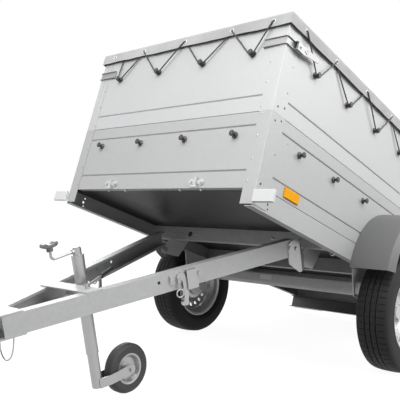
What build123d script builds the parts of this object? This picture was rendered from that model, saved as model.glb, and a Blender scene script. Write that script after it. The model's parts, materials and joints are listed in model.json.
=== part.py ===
from build123d import *
import os
from math import atan2, cos, degrees, hypot, pi, radians, sin, tan

# Utility trailer: a box body that tips back on its axle, hinged to an A-shaped
# drawbar that stands on a jack wheel. Millimetres and degrees. +Z is up, +Y is
# towards the tail and +X is the trailer's left side.
# Two working frames: BED (level bed, origin on the wheels' axis) and DRAWBAR
# (origin on the bed hinge, y along the drawbar, z square to it).

# ---------------------------------------------------------------- pose
BED_TIP = 18.31  # slope of the tipped bed, front end up
DRAWBAR_SLOPE = 11.25  # slope of the drawbar, front end down
TIP_RANGE = BED_TIP + DRAWBAR_SLOPE  # bed and drawbar line up at this angle

# ---------------------------------------------------------------- clearances
FIT = 0.3  # running gap of pins, tubes and shafts
SEAM = 0.4  # gap between pieces that meet
MOVE_GAP = 5.0  # gap to pieces that swing past

# ---------------------------------------------------------------- bed
BED_WIDTH = 1112.0
BED_LENGTH = 2092.0
BED_OVERHANG = 1096.0  # wheel axis to the front face
WALL = 24.0  # depth of the boards
SHEET = 1.5  # gauge of the boards
RAIL_BOTTOM = 152.0
RAIL_TOP = 233.0
RAIL_FLANGE = 36.0
RAIL_GAUGE = 2.5
FLOOR_BOTTOM = 222.0
FLOOR_THICK = 8.0
LOWER_TOP = 528.5  # seam between lower and extension boards
BOX_TOP = 938.0
BOARD_GAP = 2.4  # dark joint over and under the boards
POST_FRONT = 57.0  # post flange on the end faces
POST_SIDE = 84.0  # post flange on the side faces
POST_GAUGE = 3.0
POST_PROUD = 2.0  # posts stand out from the boards
POST_FOOT = 160.0  # posts reach down over the rails
POST_CORNER = 2.6  # radius of the fold
FOLD_LINE = 27.0  # outer strip of the upper posts
FOLD_STEP = 0.8
RIB_DEPTH = 5.0
RIB_HALF = 6.0
LOWER_RIBS = (291.0, 473.0)  # heights of the pressed ribs
EXTENSION_RIBS = (597.0,)

HALF = BED_WIDTH / 2
FRONT = -BED_OVERHANG
REAR = BED_LENGTH - BED_OVERHANG

# ---------------------------------------------------------------- cross members
CROSS_FRONT = -506.0  # front face of the member behind the drawbar
CROSS_STEP = 480.0  # to the next members
CROSS_FLANGE = 30.0
CROSS_GAUGE = 2.5
REAR_MEMBER_DEPTH = 40.0

# ---------------------------------------------------------------- bed hinge
PIVOT_Y = -530.0
PIVOT_Z = 90.0
PIVOT_PIN = 7.0  # radius
PIVOT_EDGE = 20.0  # plate radius round the pin
PIVOT_PLATE = 6.0

# ---------------------------------------------------------------- drawbar
ARM_HEIGHT = 75.0
ARM_FLANGE = 40.0
ARM_GAUGE = 3.5
ARM_LIP = 10.0
ARM_CENTRE = 64.4  # height over the hinge
ARM_REAR = -32.0
ARM_FRONT = -1210.0
ARM_SPREAD = 427.6  # outer face from the centreline, abreast of the hinge
ARM_ANGLE = 17.0
SOCKET_Y = -1440.0  # centre of the towing ball
BALL_RADIUS = 25.0

# ---------------------------------------------------------------- jack
JACK_Y = -838.0
JACK_OUTER = 24.0  # radius of the outer tube
JACK_WALL = 2.5
JACK_TOP = 211.0
JACK_BOTTOM = -176.0
JACK_TRAIL = 150.0
JACK_WHEEL_RADIUS = 100.0
JACK_WHEEL_WIDTH = 50.0
FORK_STRAP = 4.0
FORK_HEIGHT = 38.0

# ---------------------------------------------------------------- wheels
TYRE_RADIUS = 273.5
TYRE_WIDTH = 155.0
ARM_STANDOFF = 1.0  # bed side to swing arm
ARM_THICK = 12.0
TYRE_GAP = 5.5  # swing arm to tyre
TRACK = BED_WIDTH + 2 * (ARM_STANDOFF + ARM_THICK + TYRE_GAP) + TYRE_WIDTH
RIM_RADIUS = 165.0  # bead seat
RIM_WIDTH = 127.0
HUB_RADIUS = 55.0

# ---------------------------------------------------------------- axle
AXLE_Y = -170.0
AXLE_Z = 56.0
AXLE_SIDE = 58.0

# ---------------------------------------------------------------- tail
HINGE_Z = 224.5
HINGE_OUT = 9.0  # pin axis behind the tail face


def slab(x, y, z):
    """Block between two limits on each axis."""
    size = [high - low for low, high in (x, y, z)]
    centre = [(low + high) / 2 for low, high in (x, y, z)]
    return Pos(*centre) * Box(*size)


def rod(start, end, radius):
    """Round bar between two points."""
    axis = Vector(*end) - Vector(*start)
    return Plane(start, z_dir=axis) * Pos(0, 0, axis.length / 2) * Cylinder(radius, axis.length)


def pipe(start, end, radius, bore):
    """Tube between two points."""
    axis = (Vector(*end) - Vector(*start)).normalized()
    over_start = tuple(Vector(*start) - axis)
    over_end = tuple(Vector(*end) + axis)
    return rod(start, end, radius) - rod(over_start, over_end, bore)


def side_plate(outline, x_low, x_high):
    """Flat plate in the YZ plane, from its (y, z) outline."""
    edge = Polyline(*outline, close=True)
    plane = Plane((x_low, 0, 0), x_dir=(0, 1, 0), z_dir=(1, 0, 0))
    return extrude(plane * make_face(edge), x_high - x_low)


def bar_along_x(outline, x_low, x_high):
    """Bar of a (y, z) section that runs across the trailer."""
    return side_plate(outline, x_low, x_high)


def both_sides(shape):
    """The piece on the left and its mirror image on the right."""
    return [shape, mirror(shape, about=Plane.YZ)]


def pan(x, y, z, open_to):
    """Folded sheet board, a shallow pan open on one face."""
    hollow = {"x": [x[0] + SHEET, x[1] - SHEET], "y": [y[0] + SHEET, y[1] - SHEET],
              "z": [z[0] + SHEET, z[1] - SHEET]}
    limits = hollow[open_to[1].lower()]
    if open_to[0] == "+":
        limits[1] += 2 * SHEET
    else:
        limits[0] -= 2 * SHEET
    return slab(x, y, z) - slab(hollow["x"], hollow["y"], hollow["z"])


def rib(height, depth, half):
    """Triangular (depth, height) section of a pressed rib, across the board."""
    return [(0, height - half), (depth, height), (0, height + half)]


def end_board(y_face, inward, half_width, z, ribs):
    """Board across the bed, with its ribs pressed in from outside."""
    near, far = sorted((y_face, y_face + inward * WALL))
    board = pan((-half_width, half_width), (near, far), z, "+Y" if inward > 0 else "-Y")
    for height in ribs:
        ridge = [(y_face + inward * (d + SHEET / 2), h) for d, h in rib(height, RIB_DEPTH, RIB_HALF)]
        groove = [(y_face + inward * (d - 0.01), h) for d, h in rib(height, RIB_DEPTH, RIB_HALF - SHEET)]
        board += bar_along_x(ridge, -half_width + SHEET, half_width - SHEET)
        board -= bar_along_x(groove, -half_width + 2 * SHEET, half_width - 2 * SHEET)
    return board


def side_board(z, ribs):
    """Left board, from post to post."""
    y = (FRONT + POST_SIDE + SEAM, REAR - POST_SIDE - SEAM)
    board = pan((HALF - WALL, HALF), y, z, "-X")
    for height in ribs:
        ridge = [(HALF - d - SHEET / 2, h) for d, h in rib(height, RIB_DEPTH, RIB_HALF)]
        groove = [(HALF - d + 0.01, h) for d, h in rib(height, RIB_DEPTH, RIB_HALF - SHEET)]
        for section, grow, inset in ((ridge, 1, SHEET), (groove, -1, 2 * SHEET)):
            face = make_face(Polyline(*section, close=True))
            plane = Plane((0, y[0] + inset, 0), x_dir=(1, 0, 0), z_dir=(0, -1, 0))
            bar = extrude(plane * face, -(y[1] - y[0] - 2 * inset))
            board = board + bar if grow > 0 else board - bar
    return board


def corner_post(low, high):
    """Folded post at the left front corner, standing proud of the boards."""
    face, side = FRONT - POST_PROUD, HALF + POST_PROUD
    end = HALF - POST_FRONT
    skin = slab((end, side), (face, face + POST_GAUGE), (low, high))
    skin += slab((side - POST_GAUGE, side), (face, FRONT + POST_SIDE), (low, high))
    skin += slab((end, end + POST_GAUGE), (face, FRONT + WALL), (low, high))
    skin += slab((HALF - WALL, side), (FRONT + POST_SIDE - POST_GAUGE, FRONT + POST_SIDE), (low, high))
    return skin


def round_fold(post):
    """Rounds the upright outer edge of a post."""
    at = (HALF + POST_PROUD, FRONT - POST_PROUD)
    fold = [edge for edge in post.edges().filter_by(Axis.Z)
            if hypot(edge.center().X - at[0], edge.center().Y - at[1]) < 0.1]
    return fillet(fold, POST_CORNER)


def cut_holes(post, holes):
    """Drills the post's side flange at (along from the front, height, radius)."""
    for along, height, radius in holes:
        y = FRONT + along
        post -= rod((HALF - RAIL_GAUGE - 2, y, height), (HALF + POST_PROUD + 1, y, height), radius)
    return post


def lower_post():
    """Post of the lower tier, with its foot over the end of the rail."""
    low, high = LOWER
    post = corner_post(low, high)
    post += slab((HALF - POST_FRONT, HALF + POST_PROUD), (FRONT - POST_PROUD, FRONT - SEAM),
                 (POST_FOOT, low + 1))
    post += slab((HALF + SEAM, HALF + POST_PROUD), (FRONT - POST_PROUD, FRONT + POST_SIDE),
                 (POST_FOOT, low + 1))
    return cut_holes(round_fold(post), LOWER_POST_HOLES + RAIL_HOLES)


def upper_post():
    """Post of the upper tier, with a raised strip along its fold."""
    low, high = UPPER
    post = corner_post(low, high)
    post -= slab((HALF - POST_FRONT - 1, HALF - FOLD_LINE), (FRONT - POST_PROUD - 1, FRONT - POST_PROUD + FOLD_STEP),
                 (low - 1, high + 1))
    return cut_holes(round_fold(post), UPPER_POST_HOLES)


def posts(post):
    """A post at each of the four corners."""
    middle = Plane((0, (FRONT + REAR) / 2, 0), z_dir=(0, 1, 0))
    return both_sides(post) + both_sides(mirror(post, about=middle))


END_HALF = HALF - POST_FRONT - SEAM
LOWER = (RAIL_TOP, LOWER_TOP - SEAM / 2)
UPPER = (LOWER_TOP + SEAM / 2, BOX_TOP)
LOWER_BOARDS = (RAIL_TOP + BOARD_GAP, LOWER_TOP - BOARD_GAP / 2)
UPPER_BOARDS = (LOWER_TOP + BOARD_GAP / 2, BOX_TOP)
RAIL_HOLES = ((94, 207, 4), (89, 187, 6), (94, 169, 4))  # along from the front, height, radius
LOWER_POST_HOLES = ((21, 243, 4.5), (29, 498, 4), (67, 511, 4))
UPPER_POST_HOLES = ((28, 555, 4.5), (69, 566, 4.5))


# ================================================================ bed pieces
def side_rail():
    web = slab((HALF - RAIL_GAUGE, HALF), (FRONT, REAR), (RAIL_BOTTOM, RAIL_TOP))
    for low in (RAIL_BOTTOM, RAIL_TOP - RAIL_GAUGE):
        web += slab((HALF - RAIL_FLANGE, HALF), (FRONT, REAR), (low, low + RAIL_GAUGE))
    return cut_holes(web, RAIL_HOLES)


def cross_members():
    half = HALF - RAIL_GAUGE - FIT
    low = RAIL_BOTTOM + RAIL_GAUGE + FIT
    members = []
    for index in range(3):
        face = CROSS_FRONT + index * CROSS_STEP
        member = slab((-half, half), (face, face + CROSS_FLANGE), (low, FLOOR_BOTTOM))
        inner = slab((-half - 1, half + 1), (face + CROSS_GAUGE, face + CROSS_FLANGE + 1),
                     (low + CROSS_GAUGE, FLOOR_BOTTOM - CROSS_GAUGE))
        members.append(member - inner)
    face = REAR - REAR_MEMBER_DEPTH
    rear = slab((-half, half), (face, REAR), (low, FLOOR_BOTTOM))
    rear -= slab((-half - 1, half + 1), (face - 1, REAR - CROSS_GAUGE),
                 (low + CROSS_GAUGE, FLOOR_BOTTOM - CROSS_GAUGE))
    return members + [rear]


def bed_floor():
    half = HALF - RAIL_GAUGE - FIT
    return [slab((-half, half), (FRONT + WALL + SEAM, REAR - WALL - MOVE_GAP - 1),
                 (FLOOR_BOTTOM, FLOOR_BOTTOM + FLOOR_THICK))]


def front_board():
    return [end_board(FRONT, 1, END_HALF, (FLOOR_BOTTOM, LOWER_BOARDS[1]), LOWER_RIBS)]


def tailgate_panel():
    half = HALF - POST_FRONT - MOVE_GAP
    low = FLOOR_BOTTOM + MOVE_GAP
    return end_board(REAR, -1, half, (low, LOWER_TOP - MOVE_GAP), LOWER_RIBS)


GUARD_RADIUS = 335.0
GUARD_Y = 0.0
GUARD_Z = 120.0
GUARD_INNER = HALF + SEAM
GUARD_OUTER = 755.0
GUARD_THICK = 3.0

HOOK_PITCH = 277.0
HOOK_RADIUS = 14.0
HOOK_DEPTH = 25.0
HOOK_ROWS = (437.0, 786.0)
HOOK_INSET = 226.0  # first hook behind the front face
SIDE_HOOKS = tuple(FRONT + HOOK_INSET + HOOK_PITCH * step for step in range(7))
END_HOOK_PITCH = 269.0
END_HOOKS = tuple(END_HOOK_PITCH * (step - 1.5) for step in range(4))


HOOK_PROFILE = (  # distance from the board, radius
    (0.0, 14.0), (3.0, 14.0), (8.0, 6.8), (18.2, 6.8), (20.0, 12.0), (23.5, 12.5), (25.0, 11.0))


def tarp_hook(base, out):
    """Spool-shaped button that the cord runs round."""
    section = [(0, 0)] + [(r, d) for d, r in HOOK_PROFILE] + [(0, HOOK_DEPTH)]
    face = make_face(Polyline(*section, close=True))
    spool = revolve(Plane.XZ * face, Axis.Z)
    return Plane(base, z_dir=out) * spool


def bed_hooks():
    hooks = []
    for row in HOOK_ROWS:
        for y in SIDE_HOOKS:
            if hypot(y - GUARD_Y, row - GUARD_Z) > GUARD_RADIUS + HOOK_RADIUS:
                hooks += both_sides(tarp_hook((HALF, y, row), (1, 0, 0)))
        for x in END_HOOKS:
            hooks.append(tarp_hook((x, FRONT, row), (0, -1, 0)))
    for x in END_HOOKS:
        hooks.append(tarp_hook((x, REAR, HOOK_ROWS[1]), (0, 1, 0)))
    return hooks


def tailgate_hooks():
    return [tarp_hook((x, REAR, HOOK_ROWS[0]), (0, 1, 0)) for x in END_HOOKS]


TARP_GAP = 0.3
TARP_THICK = 3.0
TARP_BOTTOM = 889.0
SKIRT_GAP = 10.5  # skirt to boards, room for the cord
EYELET_Z = 913.0
EYELET_HOLE = 7.0
END_EYELETS = (-482.0, -270.0, 0.0, 270.0, 482.0)
SIDE_EYELETS = (-1001.0, -751.0, -462.0, -191.0, 84.0, 364.0, 643.0, 900.0)

# each wall: a point on its outer face and the directions along it and outward
WALLS = {
    "front": ((0, FRONT), (1, 0), (0, -1)),
    "left": ((HALF, 0), (0, 1), (1, 0)),
    "rear": ((0, REAR), (-1, 0), (0, 1)),
    "right": ((-HALF, 0), (0, -1), (-1, 0)),
}


def on_wall(wall, along, out, height):
    """Point at a distance along a wall, out from its face and up."""
    (x, y), (ax, ay), (ox, oy) = WALLS[wall]
    return (x + ax * along + ox * out, y + ay * along + oy * out, height)


def tarp():
    outer = SKIRT_GAP + TARP_THICK
    low, high = BOX_TOP + TARP_GAP, BOX_TOP + TARP_GAP + TARP_THICK
    cover = slab((-HALF - outer, HALF + outer), (FRONT - outer, REAR + outer), (TARP_BOTTOM, high))
    cover = fillet(cover.edges().group_by(Axis.Z)[-1], TARP_THICK * 2)
    cover -= slab((-HALF - SKIRT_GAP, HALF + SKIRT_GAP), (FRONT - SKIRT_GAP, REAR + SKIRT_GAP),
                  (TARP_BOTTOM - 1, low))
    for wall, places in (("front", END_EYELETS), ("rear", END_EYELETS),
                         ("left", SIDE_EYELETS), ("right", [-y for y in SIDE_EYELETS])):
        for along in places:
            cover -= rod(on_wall(wall, along, SKIRT_GAP - 2, EYELET_Z),
                         on_wall(wall, along, outer + 2, EYELET_Z), EYELET_HOLE)
    return [cover]


LACE_RADIUS = 3.0
LACE_BEHIND = 5.6  # centre of the cord behind the skirt
LACE_BEFORE = 17.5  # and in front of it
LACE_HOOK = 14.0  # and at the hooks
LACE_BEND = 5.5
LACE_WRAP = 11.0  # arc round a hook
LACE_TURN = 12.0  # where a hidden strand goes up beside the last hook


def wrap_corner(before, hook, after):
    """Corner under a hook whose arc is centred on the hook, in the wall's plane."""
    corner = hook
    for _ in range(6):
        ways = []
        for end in (before, after):
            run = hypot(end[0] - corner[0], end[1] - corner[1])
            ways.append(((end[0] - corner[0]) / run, (end[1] - corner[1]) / run))
        middle = (ways[0][0] + ways[1][0], ways[0][1] + ways[1][1])
        size = hypot(*middle)
        sine = (1 - (size / 2) ** 2) ** 0.5
        corner = tuple(h - LACE_WRAP / sine * m / size for h, m in zip(hook, middle))
    return corner


def wall_lace(wall, hooks, eyelets, before_first):
    """Corners of the cord along one wall: (point, radius) from eyelet to eyelet."""
    stops = []
    before = before_first
    for index, hook in enumerate(hooks):
        out = LACE_BEFORE if before else LACE_BEHIND
        start, stop = eyelets[index], eyelets[index + 1]
        if not before and index == 0:
            start = hook - LACE_TURN
        if not before and index == len(hooks) - 1:
            stop = hook + LACE_TURN
        corner = wrap_corner((start, EYELET_Z), (hook, HOOK_ROWS[1]), (stop, EYELET_Z))
        stops.append((on_wall(wall, start, out, EYELET_Z), LACE_BEND))
        stops.append((on_wall(wall, corner[0], LACE_HOOK, corner[1]), LACE_WRAP))
        stops.append((on_wall(wall, stop, out, EYELET_Z), LACE_BEND))
        before = not before
    if before_first:
        stops.insert(0, (on_wall(wall, eyelets[0], LACE_BEHIND, EYELET_Z), LACE_BEND))
    if not before:
        stops.append((on_wall(wall, eyelets[-1], LACE_BEHIND, EYELET_Z), LACE_BEND))
    return stops


def tarp_lacing():
    """Elastic cord round all four walls, in one solid for each wall."""
    side_hooks = tuple(-y for y in reversed(SIDE_HOOKS))
    side_eyelets = tuple(-y for y in reversed(SIDE_EYELETS))
    rounds = [
        wall_lace("front", END_HOOKS, END_EYELETS, False),
        wall_lace("left", SIDE_HOOKS, SIDE_EYELETS, True),
        wall_lace("rear", END_HOOKS, END_EYELETS, True),
        wall_lace("right", side_hooks, side_eyelets, False),
    ]
    starts = {"front": -HALF, "left": FRONT, "rear": -HALF, "right": -REAR}
    cords = []
    for index, wall in enumerate(WALLS):
        after = list(WALLS)[(index + 1) % 4]
        start = on_wall(wall, starts[wall], LACE_BEHIND, EYELET_Z)
        turn = on_wall(after, starts[after] - LACE_BEHIND, LACE_BEHIND, EYELET_Z)
        end = on_wall(after, starts[after] - SEAM / 2, LACE_BEHIND, EYELET_Z)
        stops = rounds[index] + [(turn, LACE_BEND * 0.6)]
        route = FilletPolyline([start] + [point for point, _ in stops] + [end],
                               radius=[radius for _, radius in stops])
        section = Plane(start, z_dir=route % 0) * Circle(LACE_RADIUS)
        cords.append(sweep(section, path=route))
    return cords


BOARD_HINGE_X = 260.0
BOARD_HINGE_LOBE = 13.0
BOARD_HINGE_REACH = 27.0  # lobe centre from the strap
BOARD_HINGE_RISE = 22.0  # over the hinge line
BOARD_HINGE_STRAP = 5.5  # half width
BOARD_HINGE_TOP = 40.0
BOARD_HINGE_BOLT = 6.5


def front_hinges():
    """Two-lobed hinges of the front board, each with a strap down its middle."""
    hinges = []
    for side in (-1, 1):
        x = side * BOARD_HINGE_X
        z = HINGE_Z + BOARD_HINGE_RISE
        hinge = slab((x - BOARD_HINGE_REACH, x + BOARD_HINGE_REACH), (FRONT - 4, FRONT), (z - 8, z + 8))
        for end in (-1, 1):
            lobe = x + end * BOARD_HINGE_REACH
            hinge += rod((lobe, FRONT - 4, z), (lobe, FRONT, z), BOARD_HINGE_LOBE)
            hinge += rod((lobe, FRONT - 9, z), (lobe, FRONT - 3, z), BOARD_HINGE_BOLT)
        strap = (x - BOARD_HINGE_STRAP, x + BOARD_HINGE_STRAP)
        hinge += slab(strap, (FRONT - 12, FRONT), (HINGE_Z, HINGE_Z + BOARD_HINGE_TOP))
        wide = (x - 3 * BOARD_HINGE_STRAP, x + 3 * BOARD_HINGE_STRAP)
        hinge += slab(wide, (FRONT - HINGE_OUT, FRONT), (HINGE_Z, HINGE_Z + 5))
        hinge += rod((wide[0], FRONT - HINGE_OUT, HINGE_Z), (wide[1], FRONT - HINGE_OUT, HINGE_Z), 6.5)
        hinges.append(hinge)
    return hinges


KNUCKLE = 6.5
HINGE_PIN = 3.5
HINGE_SPAN = 70.0
HINGE_MIDDLE = 24.0


def tailgate_hinge_fixed():
    """Hinge leaves on the rear member, with the middle knuckle."""
    leaves = []
    for side in (-1, 1):
        centre = side * BOARD_HINGE_X
        x = (centre - HINGE_MIDDLE / 2, centre + HINGE_MIDDLE / 2)
        axis = REAR + HINGE_OUT
        leaf = slab((centre - HINGE_SPAN / 2, centre + HINGE_SPAN / 2), (REAR, REAR + 4), (176, 212))
        leaf += slab(x, (REAR, REAR + 4), (205, HINGE_Z))
        leaf += slab(x, (REAR, axis), (HINGE_Z - 4, HINGE_Z))
        leaf += rod((x[0], axis, HINGE_Z), (x[1], axis, HINGE_Z), KNUCKLE)
        leaf -= rod((x[0] - 1, axis, HINGE_Z), (x[1] + 1, axis, HINGE_Z), HINGE_PIN + FIT)
        leaves.append(leaf)
    return leaves


def tailgate_hinge_moving():
    """Straps on the tailgate, with the outer knuckles and the pin."""
    straps = []
    axis = REAR + HINGE_OUT
    for side in (-1, 1):
        centre = side * BOARD_HINGE_X
        strap = slab((centre - HINGE_SPAN / 2, centre + HINGE_SPAN / 2), (REAR, REAR + 3), (236, 272))
        for end in (-1, 1):
            near = centre + end * (HINGE_MIDDLE / 2 + 1)
            far = centre + end * HINGE_SPAN / 2
            x = tuple(sorted((near, far)))
            strap += slab(x, (REAR, REAR + 3), (230, 240))
            strap += side_plate([(REAR, 230), (REAR, 236), (axis + 4, HINGE_Z + 5),
                                 (axis, HINGE_Z)], *x)
            strap += rod((x[0], axis, HINGE_Z), (x[1], axis, HINGE_Z), KNUCKLE)
        strap += rod((centre - HINGE_SPAN / 2 - 3, axis, HINGE_Z),
                     (centre + HINGE_SPAN / 2 + 3, axis, HINGE_Z), HINGE_PIN)
        straps.append(strap)
    return straps


def pivot_brackets():
    """Gussets under the floor that hold the drawbar's pins."""
    under = RAIL_BOTTOM + RAIL_GAUGE
    back = CROSS_FRONT + CROSS_FLANGE + SEAM
    outline = [(PIVOT_Y - PIVOT_EDGE, PIVOT_Z + 4), (PIVOT_Y - PIVOT_EDGE * 0.7, PIVOT_Z - PIVOT_EDGE * 0.7),
               (PIVOT_Y, PIVOT_Z - PIVOT_EDGE), (-415, 80), (-364, 184), (-364, FLOOR_BOTTOM),
               (back, FLOOR_BOTTOM), (back, under), (CROSS_FRONT + 1, under)]
    plate = side_plate(outline, BRACKET_X, BRACKET_X + PIVOT_PLATE)
    plate -= rod((BRACKET_X - 1, PIVOT_Y, PIVOT_Z), (BRACKET_X + PIVOT_PLATE + 1, PIVOT_Y, PIVOT_Z),
                 PIVOT_PIN + FIT)
    return both_sides(plate)


# plan of the drawbar's hinge plates: they follow the arm, then run straight
PLATE_BEND = -3.0  # y of the bend
PLATE_INNER = ARM_SPREAD + tan(radians(ARM_ANGLE)) * PLATE_BEND
BRACKET_X = ARM_SPREAD - tan(radians(ARM_ANGLE)) * PIVOT_EDGE - PIVOT_PLATE - 1.0


ARM_X = (HALF + ARM_STANDOFF, HALF + ARM_STANDOFF + ARM_THICK)
STUB_RADIUS = 15.0
HUB_FACE = TRACK / 2 - 22  # back of the wheel disc


def axle_tube():
    half = ARM_X[0] - FIT
    side = AXLE_SIDE / 2
    tube = slab((-half, half), (AXLE_Y - side, AXLE_Y + side), (AXLE_Z - side, AXLE_Z + side))
    edges = tube.edges().filter_by(Axis.X)
    tube = fillet(edges, 10)
    return [tube - slab((-half - 1, half + 1), (AXLE_Y - side + 4, AXLE_Y + side - 4),
                        (AXLE_Z - side + 4, AXLE_Z + side - 4))]


def axle_plates():
    """Plates that hang the axle from the rails."""
    side = AXLE_SIDE / 2
    top = RAIL_BOTTOM
    plates = []
    for x in (HALF - RAIL_FLANGE + 2,):
        outline = [(AXLE_Y - 90, top), (AXLE_Y - side - 8, AXLE_Z - side + 10),
                   (AXLE_Y - side + 4, AXLE_Z - side - 12), (AXLE_Y + side - 4, AXLE_Z - side - 12),
                   (AXLE_Y + side + 8, AXLE_Z - side + 10), (AXLE_Y + 90, top)]
        plate = side_plate(outline, x, x + 6)
        plate -= slab((x - 1, x + 7), (AXLE_Y - side - SEAM / 2, AXLE_Y + side + SEAM / 2),
                      (AXLE_Z - side - SEAM / 2, AXLE_Z + side + SEAM / 2))
        plates += both_sides(plate)
    return plates


def swing_arm():
    """Trailing arm with its stub axle."""
    outline_radius = 26.0
    arm = rod((ARM_X[0], AXLE_Y, AXLE_Z), (ARM_X[1], AXLE_Y, AXLE_Z), outline_radius + 6)
    arm += rod((ARM_X[0], 0, 0), (ARM_X[1], 0, 0), outline_radius)
    run = hypot(AXLE_Y, AXLE_Z)
    angle = degrees(atan2(-AXLE_Z, -AXLE_Y))
    beam = (Pos(ARM_X[0] + ARM_THICK / 2, AXLE_Y / 2, AXLE_Z / 2) * Rot(angle, 0, 0)
            * Box(ARM_THICK, run, 46))
    arm += beam
    arm += rod((HALF - 7, AXLE_Y, AXLE_Z), (ARM_X[0] + 1, AXLE_Y, AXLE_Z), 18)
    arm += rod((ARM_X[1] - 1, 0, 0), (HUB_FACE + 20, 0, 0), STUB_RADIUS)
    return arm


GUARD_CREASE = 15.0  # the lip starts this far inside the guard's edge
GUARD_LIP = 36.0
GUARD_FLANGE = 30.0


def mudguard():
    """Half-round guard with a sloping outer lip and an inner flange."""
    outer = [(GUARD_INNER, GUARD_RADIUS - GUARD_FLANGE), (GUARD_INNER, GUARD_RADIUS),
             (GUARD_OUTER - GUARD_CREASE, GUARD_RADIUS), (GUARD_OUTER, GUARD_RADIUS - GUARD_LIP)]
    inner = [(GUARD_OUTER - GUARD_THICK, GUARD_RADIUS - GUARD_LIP),
             (GUARD_OUTER - GUARD_CREASE - GUARD_THICK * 0.7, GUARD_RADIUS - GUARD_THICK),
             (GUARD_INNER + GUARD_THICK, GUARD_RADIUS - GUARD_THICK),
             (GUARD_INNER + GUARD_THICK, GUARD_RADIUS - GUARD_FLANGE)]
    face = make_face(Polyline(*outer, *inner, close=True))
    shell = revolve(face, Axis.X, revolution_arc=180)
    crease = [edge for edge in shell.edges()
              if abs(edge.center().X - (GUARD_OUTER - GUARD_CREASE)) < 0.5 and edge.length > GUARD_RADIUS]
    shell = fillet(crease, 8)
    return Pos(0, GUARD_Y, GUARD_Z) * shell


BEAM_Y = 950.0
BEAM_DEPTH = 40.0
BEAM_LOW = 76.0
BEAM_HIGH = 165.0
BEAM_HALF = 575.0
BEAM_GAUGE = 2.0


def light_beam():
    """Channel behind the bed that carries the lamps, on two hangers."""
    y = (BEAM_Y, BEAM_Y + BEAM_DEPTH)
    high = RAIL_BOTTOM - SEAM / 2
    beam = slab((-BEAM_HALF, BEAM_HALF), y, (BEAM_LOW, high))
    beam -= slab((-BEAM_HALF - 1, BEAM_HALF + 1), (y[0] - 1, y[1] - BEAM_GAUGE),
                 (BEAM_LOW + BEAM_GAUGE, high - BEAM_GAUGE))
    return [beam]


def rear_lamps():
    face = BEAM_Y + BEAM_DEPTH
    return both_sides(slab((BEAM_HALF - 225, BEAM_HALF - 5), (face, face + 45), (BEAM_LOW + 2, RAIL_BOTTOM - 4)))


PLATE_HALF = 260.0
PLATE_LOW = 305.0
PLATE_HEIGHT = 112.0


def number_plate():
    """Blank plate on the tailgate."""
    return [slab((-PLATE_HALF, PLATE_HALF), (REAR, REAR + 3), (PLATE_LOW, PLATE_LOW + PLATE_HEIGHT))]


REFLECTOR_INSET = 172.0  # behind the front face
REFLECTOR_LONG = 103.0
REFLECTOR_LOW = RAIL_TOP + 13
REFLECTOR_HIGH = RAIL_TOP + 53
REFLECTOR_DEEP = 6.0
MARKER_START = 4.0  # out from the bed's side
MARKER_REACH = 97.0
MARKER_LOW = 164.0
MARKER_HIGH = 211.0
MARKER_DEEP = 12.0
MARKER_FOOT = ((POST_PROUD + SEAM, 26.0), (176.0, 199.0))  # out from the side, height


def side_reflectors():
    """Reflector with rounded edges on each side."""
    start = FRONT + REFLECTOR_INSET
    lens = slab((HALF, HALF + REFLECTOR_DEEP), (start, start + REFLECTOR_LONG), (REFLECTOR_LOW, REFLECTOR_HIGH))
    lens = fillet(lens.edges().group_by(Axis.X)[-1], 2)
    return both_sides(lens)


def front_markers():
    """White marker lamp beside each front post, on a foot that holds it to the post."""
    back = FRONT - POST_PROUD - SEAM
    x = (HALF + MARKER_START, HALF + MARKER_REACH)
    lens = slab(x, (back - MARKER_DEEP, back), (MARKER_LOW, MARKER_HIGH))
    lens = fillet(lens.edges().group_by(Axis.Y)[0], 2)
    (near, far), height = MARKER_FOOT
    lens += slab((HALF + near, HALF + far), (back - 2, back + MARKER_DEEP), height)
    return both_sides(lens)


LATCH_STRAP = 2.2
LATCH_LOW = 804.0
LATCH_HEIGHT = 35.0
LATCH_FLANGE = 8.0  # lips along the strap's edges
LATCH_FRONT_REACH = 104.0  # on the end wall
LATCH_SIDE_REACH = 92.0
LATCH_BODY = (42.0, 92.0)  # along the side
LATCH_PIN = 56.0
LEVER_REACH = (212.0, 200.0)  # ends of the lever's upper and lower edges
LEVER_HEIGHTS = (0.0, 13.0, 42.0)  # over the strap's lower edge
LEVER_OUT = (21.0, 24.0)  # lever clear of the cord behind it


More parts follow.
